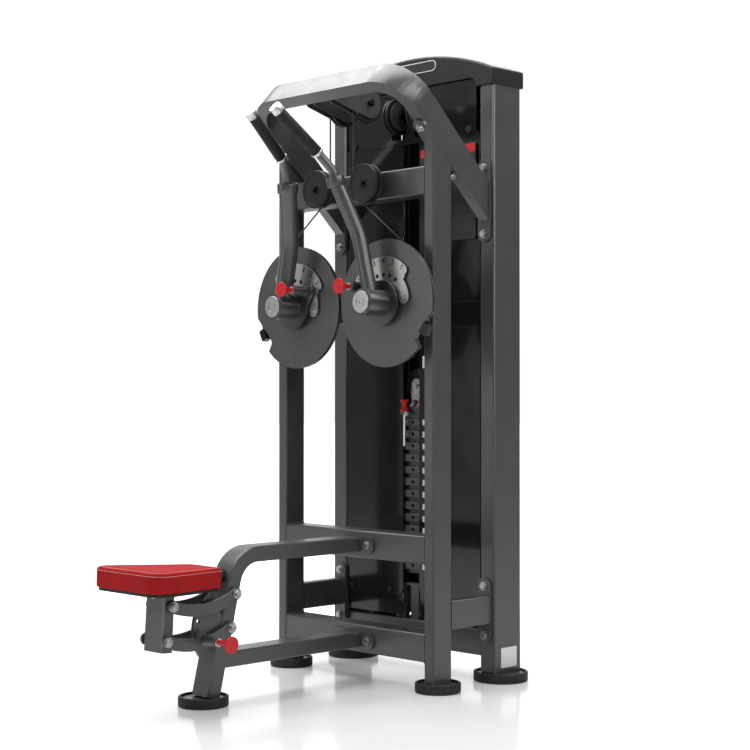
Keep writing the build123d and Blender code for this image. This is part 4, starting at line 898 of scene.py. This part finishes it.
def area_light(name, location, target, size, power):
    data = bpy.data.lights.new(name, "AREA")
    data.shape = "RECTANGLE"
    data.size, data.size_y = size
    data.energy = power
    light = bpy.data.objects.new(name, data)
    bpy.context.scene.collection.objects.link(light)
    light.location = location
    light.rotation_euler = (Vector(target) - Vector(location)).to_track_quat("-Z", "Y").to_euler()


def make_world():
    """White to the camera. To everything else a dimmer sky with a bright backdrop behind the machine."""
    world = bpy.data.worlds.new("studio")
    world.use_nodes = True
    tree = world.node_tree
    path = tree.nodes.new("ShaderNodeLightPath")
    direction = tree.nodes.new("ShaderNodeTexCoord")
    split = tree.nodes.new("ShaderNodeSeparateXYZ")
    height = tree.nodes.new("ShaderNodeMapRange")
    set_range(height, -0.1, 0.9, SKY_LOW, SKY_HIGH)
    away = tree.nodes.new("ShaderNodeVectorMath")
    away.operation = "DOT_PRODUCT"
    azimuth = math.radians(CAMERA_AZIMUTH)
    away.inputs[1].default_value = (-math.sin(azimuth), math.cos(azimuth), 0)
    backdrop = tree.nodes.new("ShaderNodeMapRange")
    backdrop.interpolation_type = "SMOOTHSTEP"
    set_range(backdrop, 0.55, 0.95, 0.0, BACKDROP_GLOW)
    total = tree.nodes.new("ShaderNodeMath")
    total.operation = "ADD"
    pick = tree.nodes.new("ShaderNodeMix")
    pick.inputs["B"].default_value = SEEN_WHITE
    tree.links.new(direction.outputs["Generated"], split.inputs[0])
    tree.links.new(split.outputs["Z"], height.inputs["Value"])
    tree.links.new(direction.outputs["Generated"], away.inputs[0])
    tree.links.new(away.outputs["Value"], backdrop.inputs["Value"])
    tree.links.new(height.outputs["Result"], total.inputs[0])
    tree.links.new(backdrop.outputs["Result"], total.inputs[1])
    tree.links.new(total.outputs[0], pick.inputs["A"])
    tree.links.new(path.outputs["Is Camera Ray"], pick.inputs["Factor"])
    tree.links.new(pick.outputs["Result"], tree.nodes["Background"].inputs["Strength"])
    tree.nodes["Background"].inputs["Color"].default_value = (1, 1, 1, 1)
    bpy.context.scene.world = world


def make_lights():
    area_light("overhead", (-0.9, 0.2, 4.1), (-0.1, 0, 0.6), (6.6, 3.6), 330)
    area_light("left_fill", (-3.0, -4.6, 1.8), (0, 0, 0.9), (1.6, 2.6), 22)
    area_light("right_high", (3.4, 1.0, 3.9), (0.3, 0, 1.6), (2.4, 2.0), 62)
    area_light("right_strip", (4.0, -1.5, 3.1), (0.2, 0, 1.3), (0.35, 1.6), 30)


CAMERA_FROM_FRAME = Vector((3.7226, -3.6109, 0.930))
SENSOR, FOCAL = 36, 76.665


def make_camera():
    """The photograph's viewpoint: just under a metre up, level, 45 degrees to the right."""
    data = bpy.data.cameras.new("camera")
    data.lens = FOCAL
    data.sensor_width = SENSOR
    data.clip_end = 200
    camera = bpy.data.objects.new("camera", data)
    bpy.context.scene.collection.objects.link(camera)
    camera.location = CAMERA_FROM_FRAME + Vector((0, FRAME_DEPTH, 0))
    camera.rotation_euler = (math.radians(90 + CAMERA_PITCH), 0, math.radians(CAMERA_AZIMUTH))
    bpy.context.scene.camera = camera


soften_cad_edges()
make_pieces()
make_floor()
make_world()
make_lights()
make_camera()
bpy.context.scene.view_settings.view_transform = "Standard"
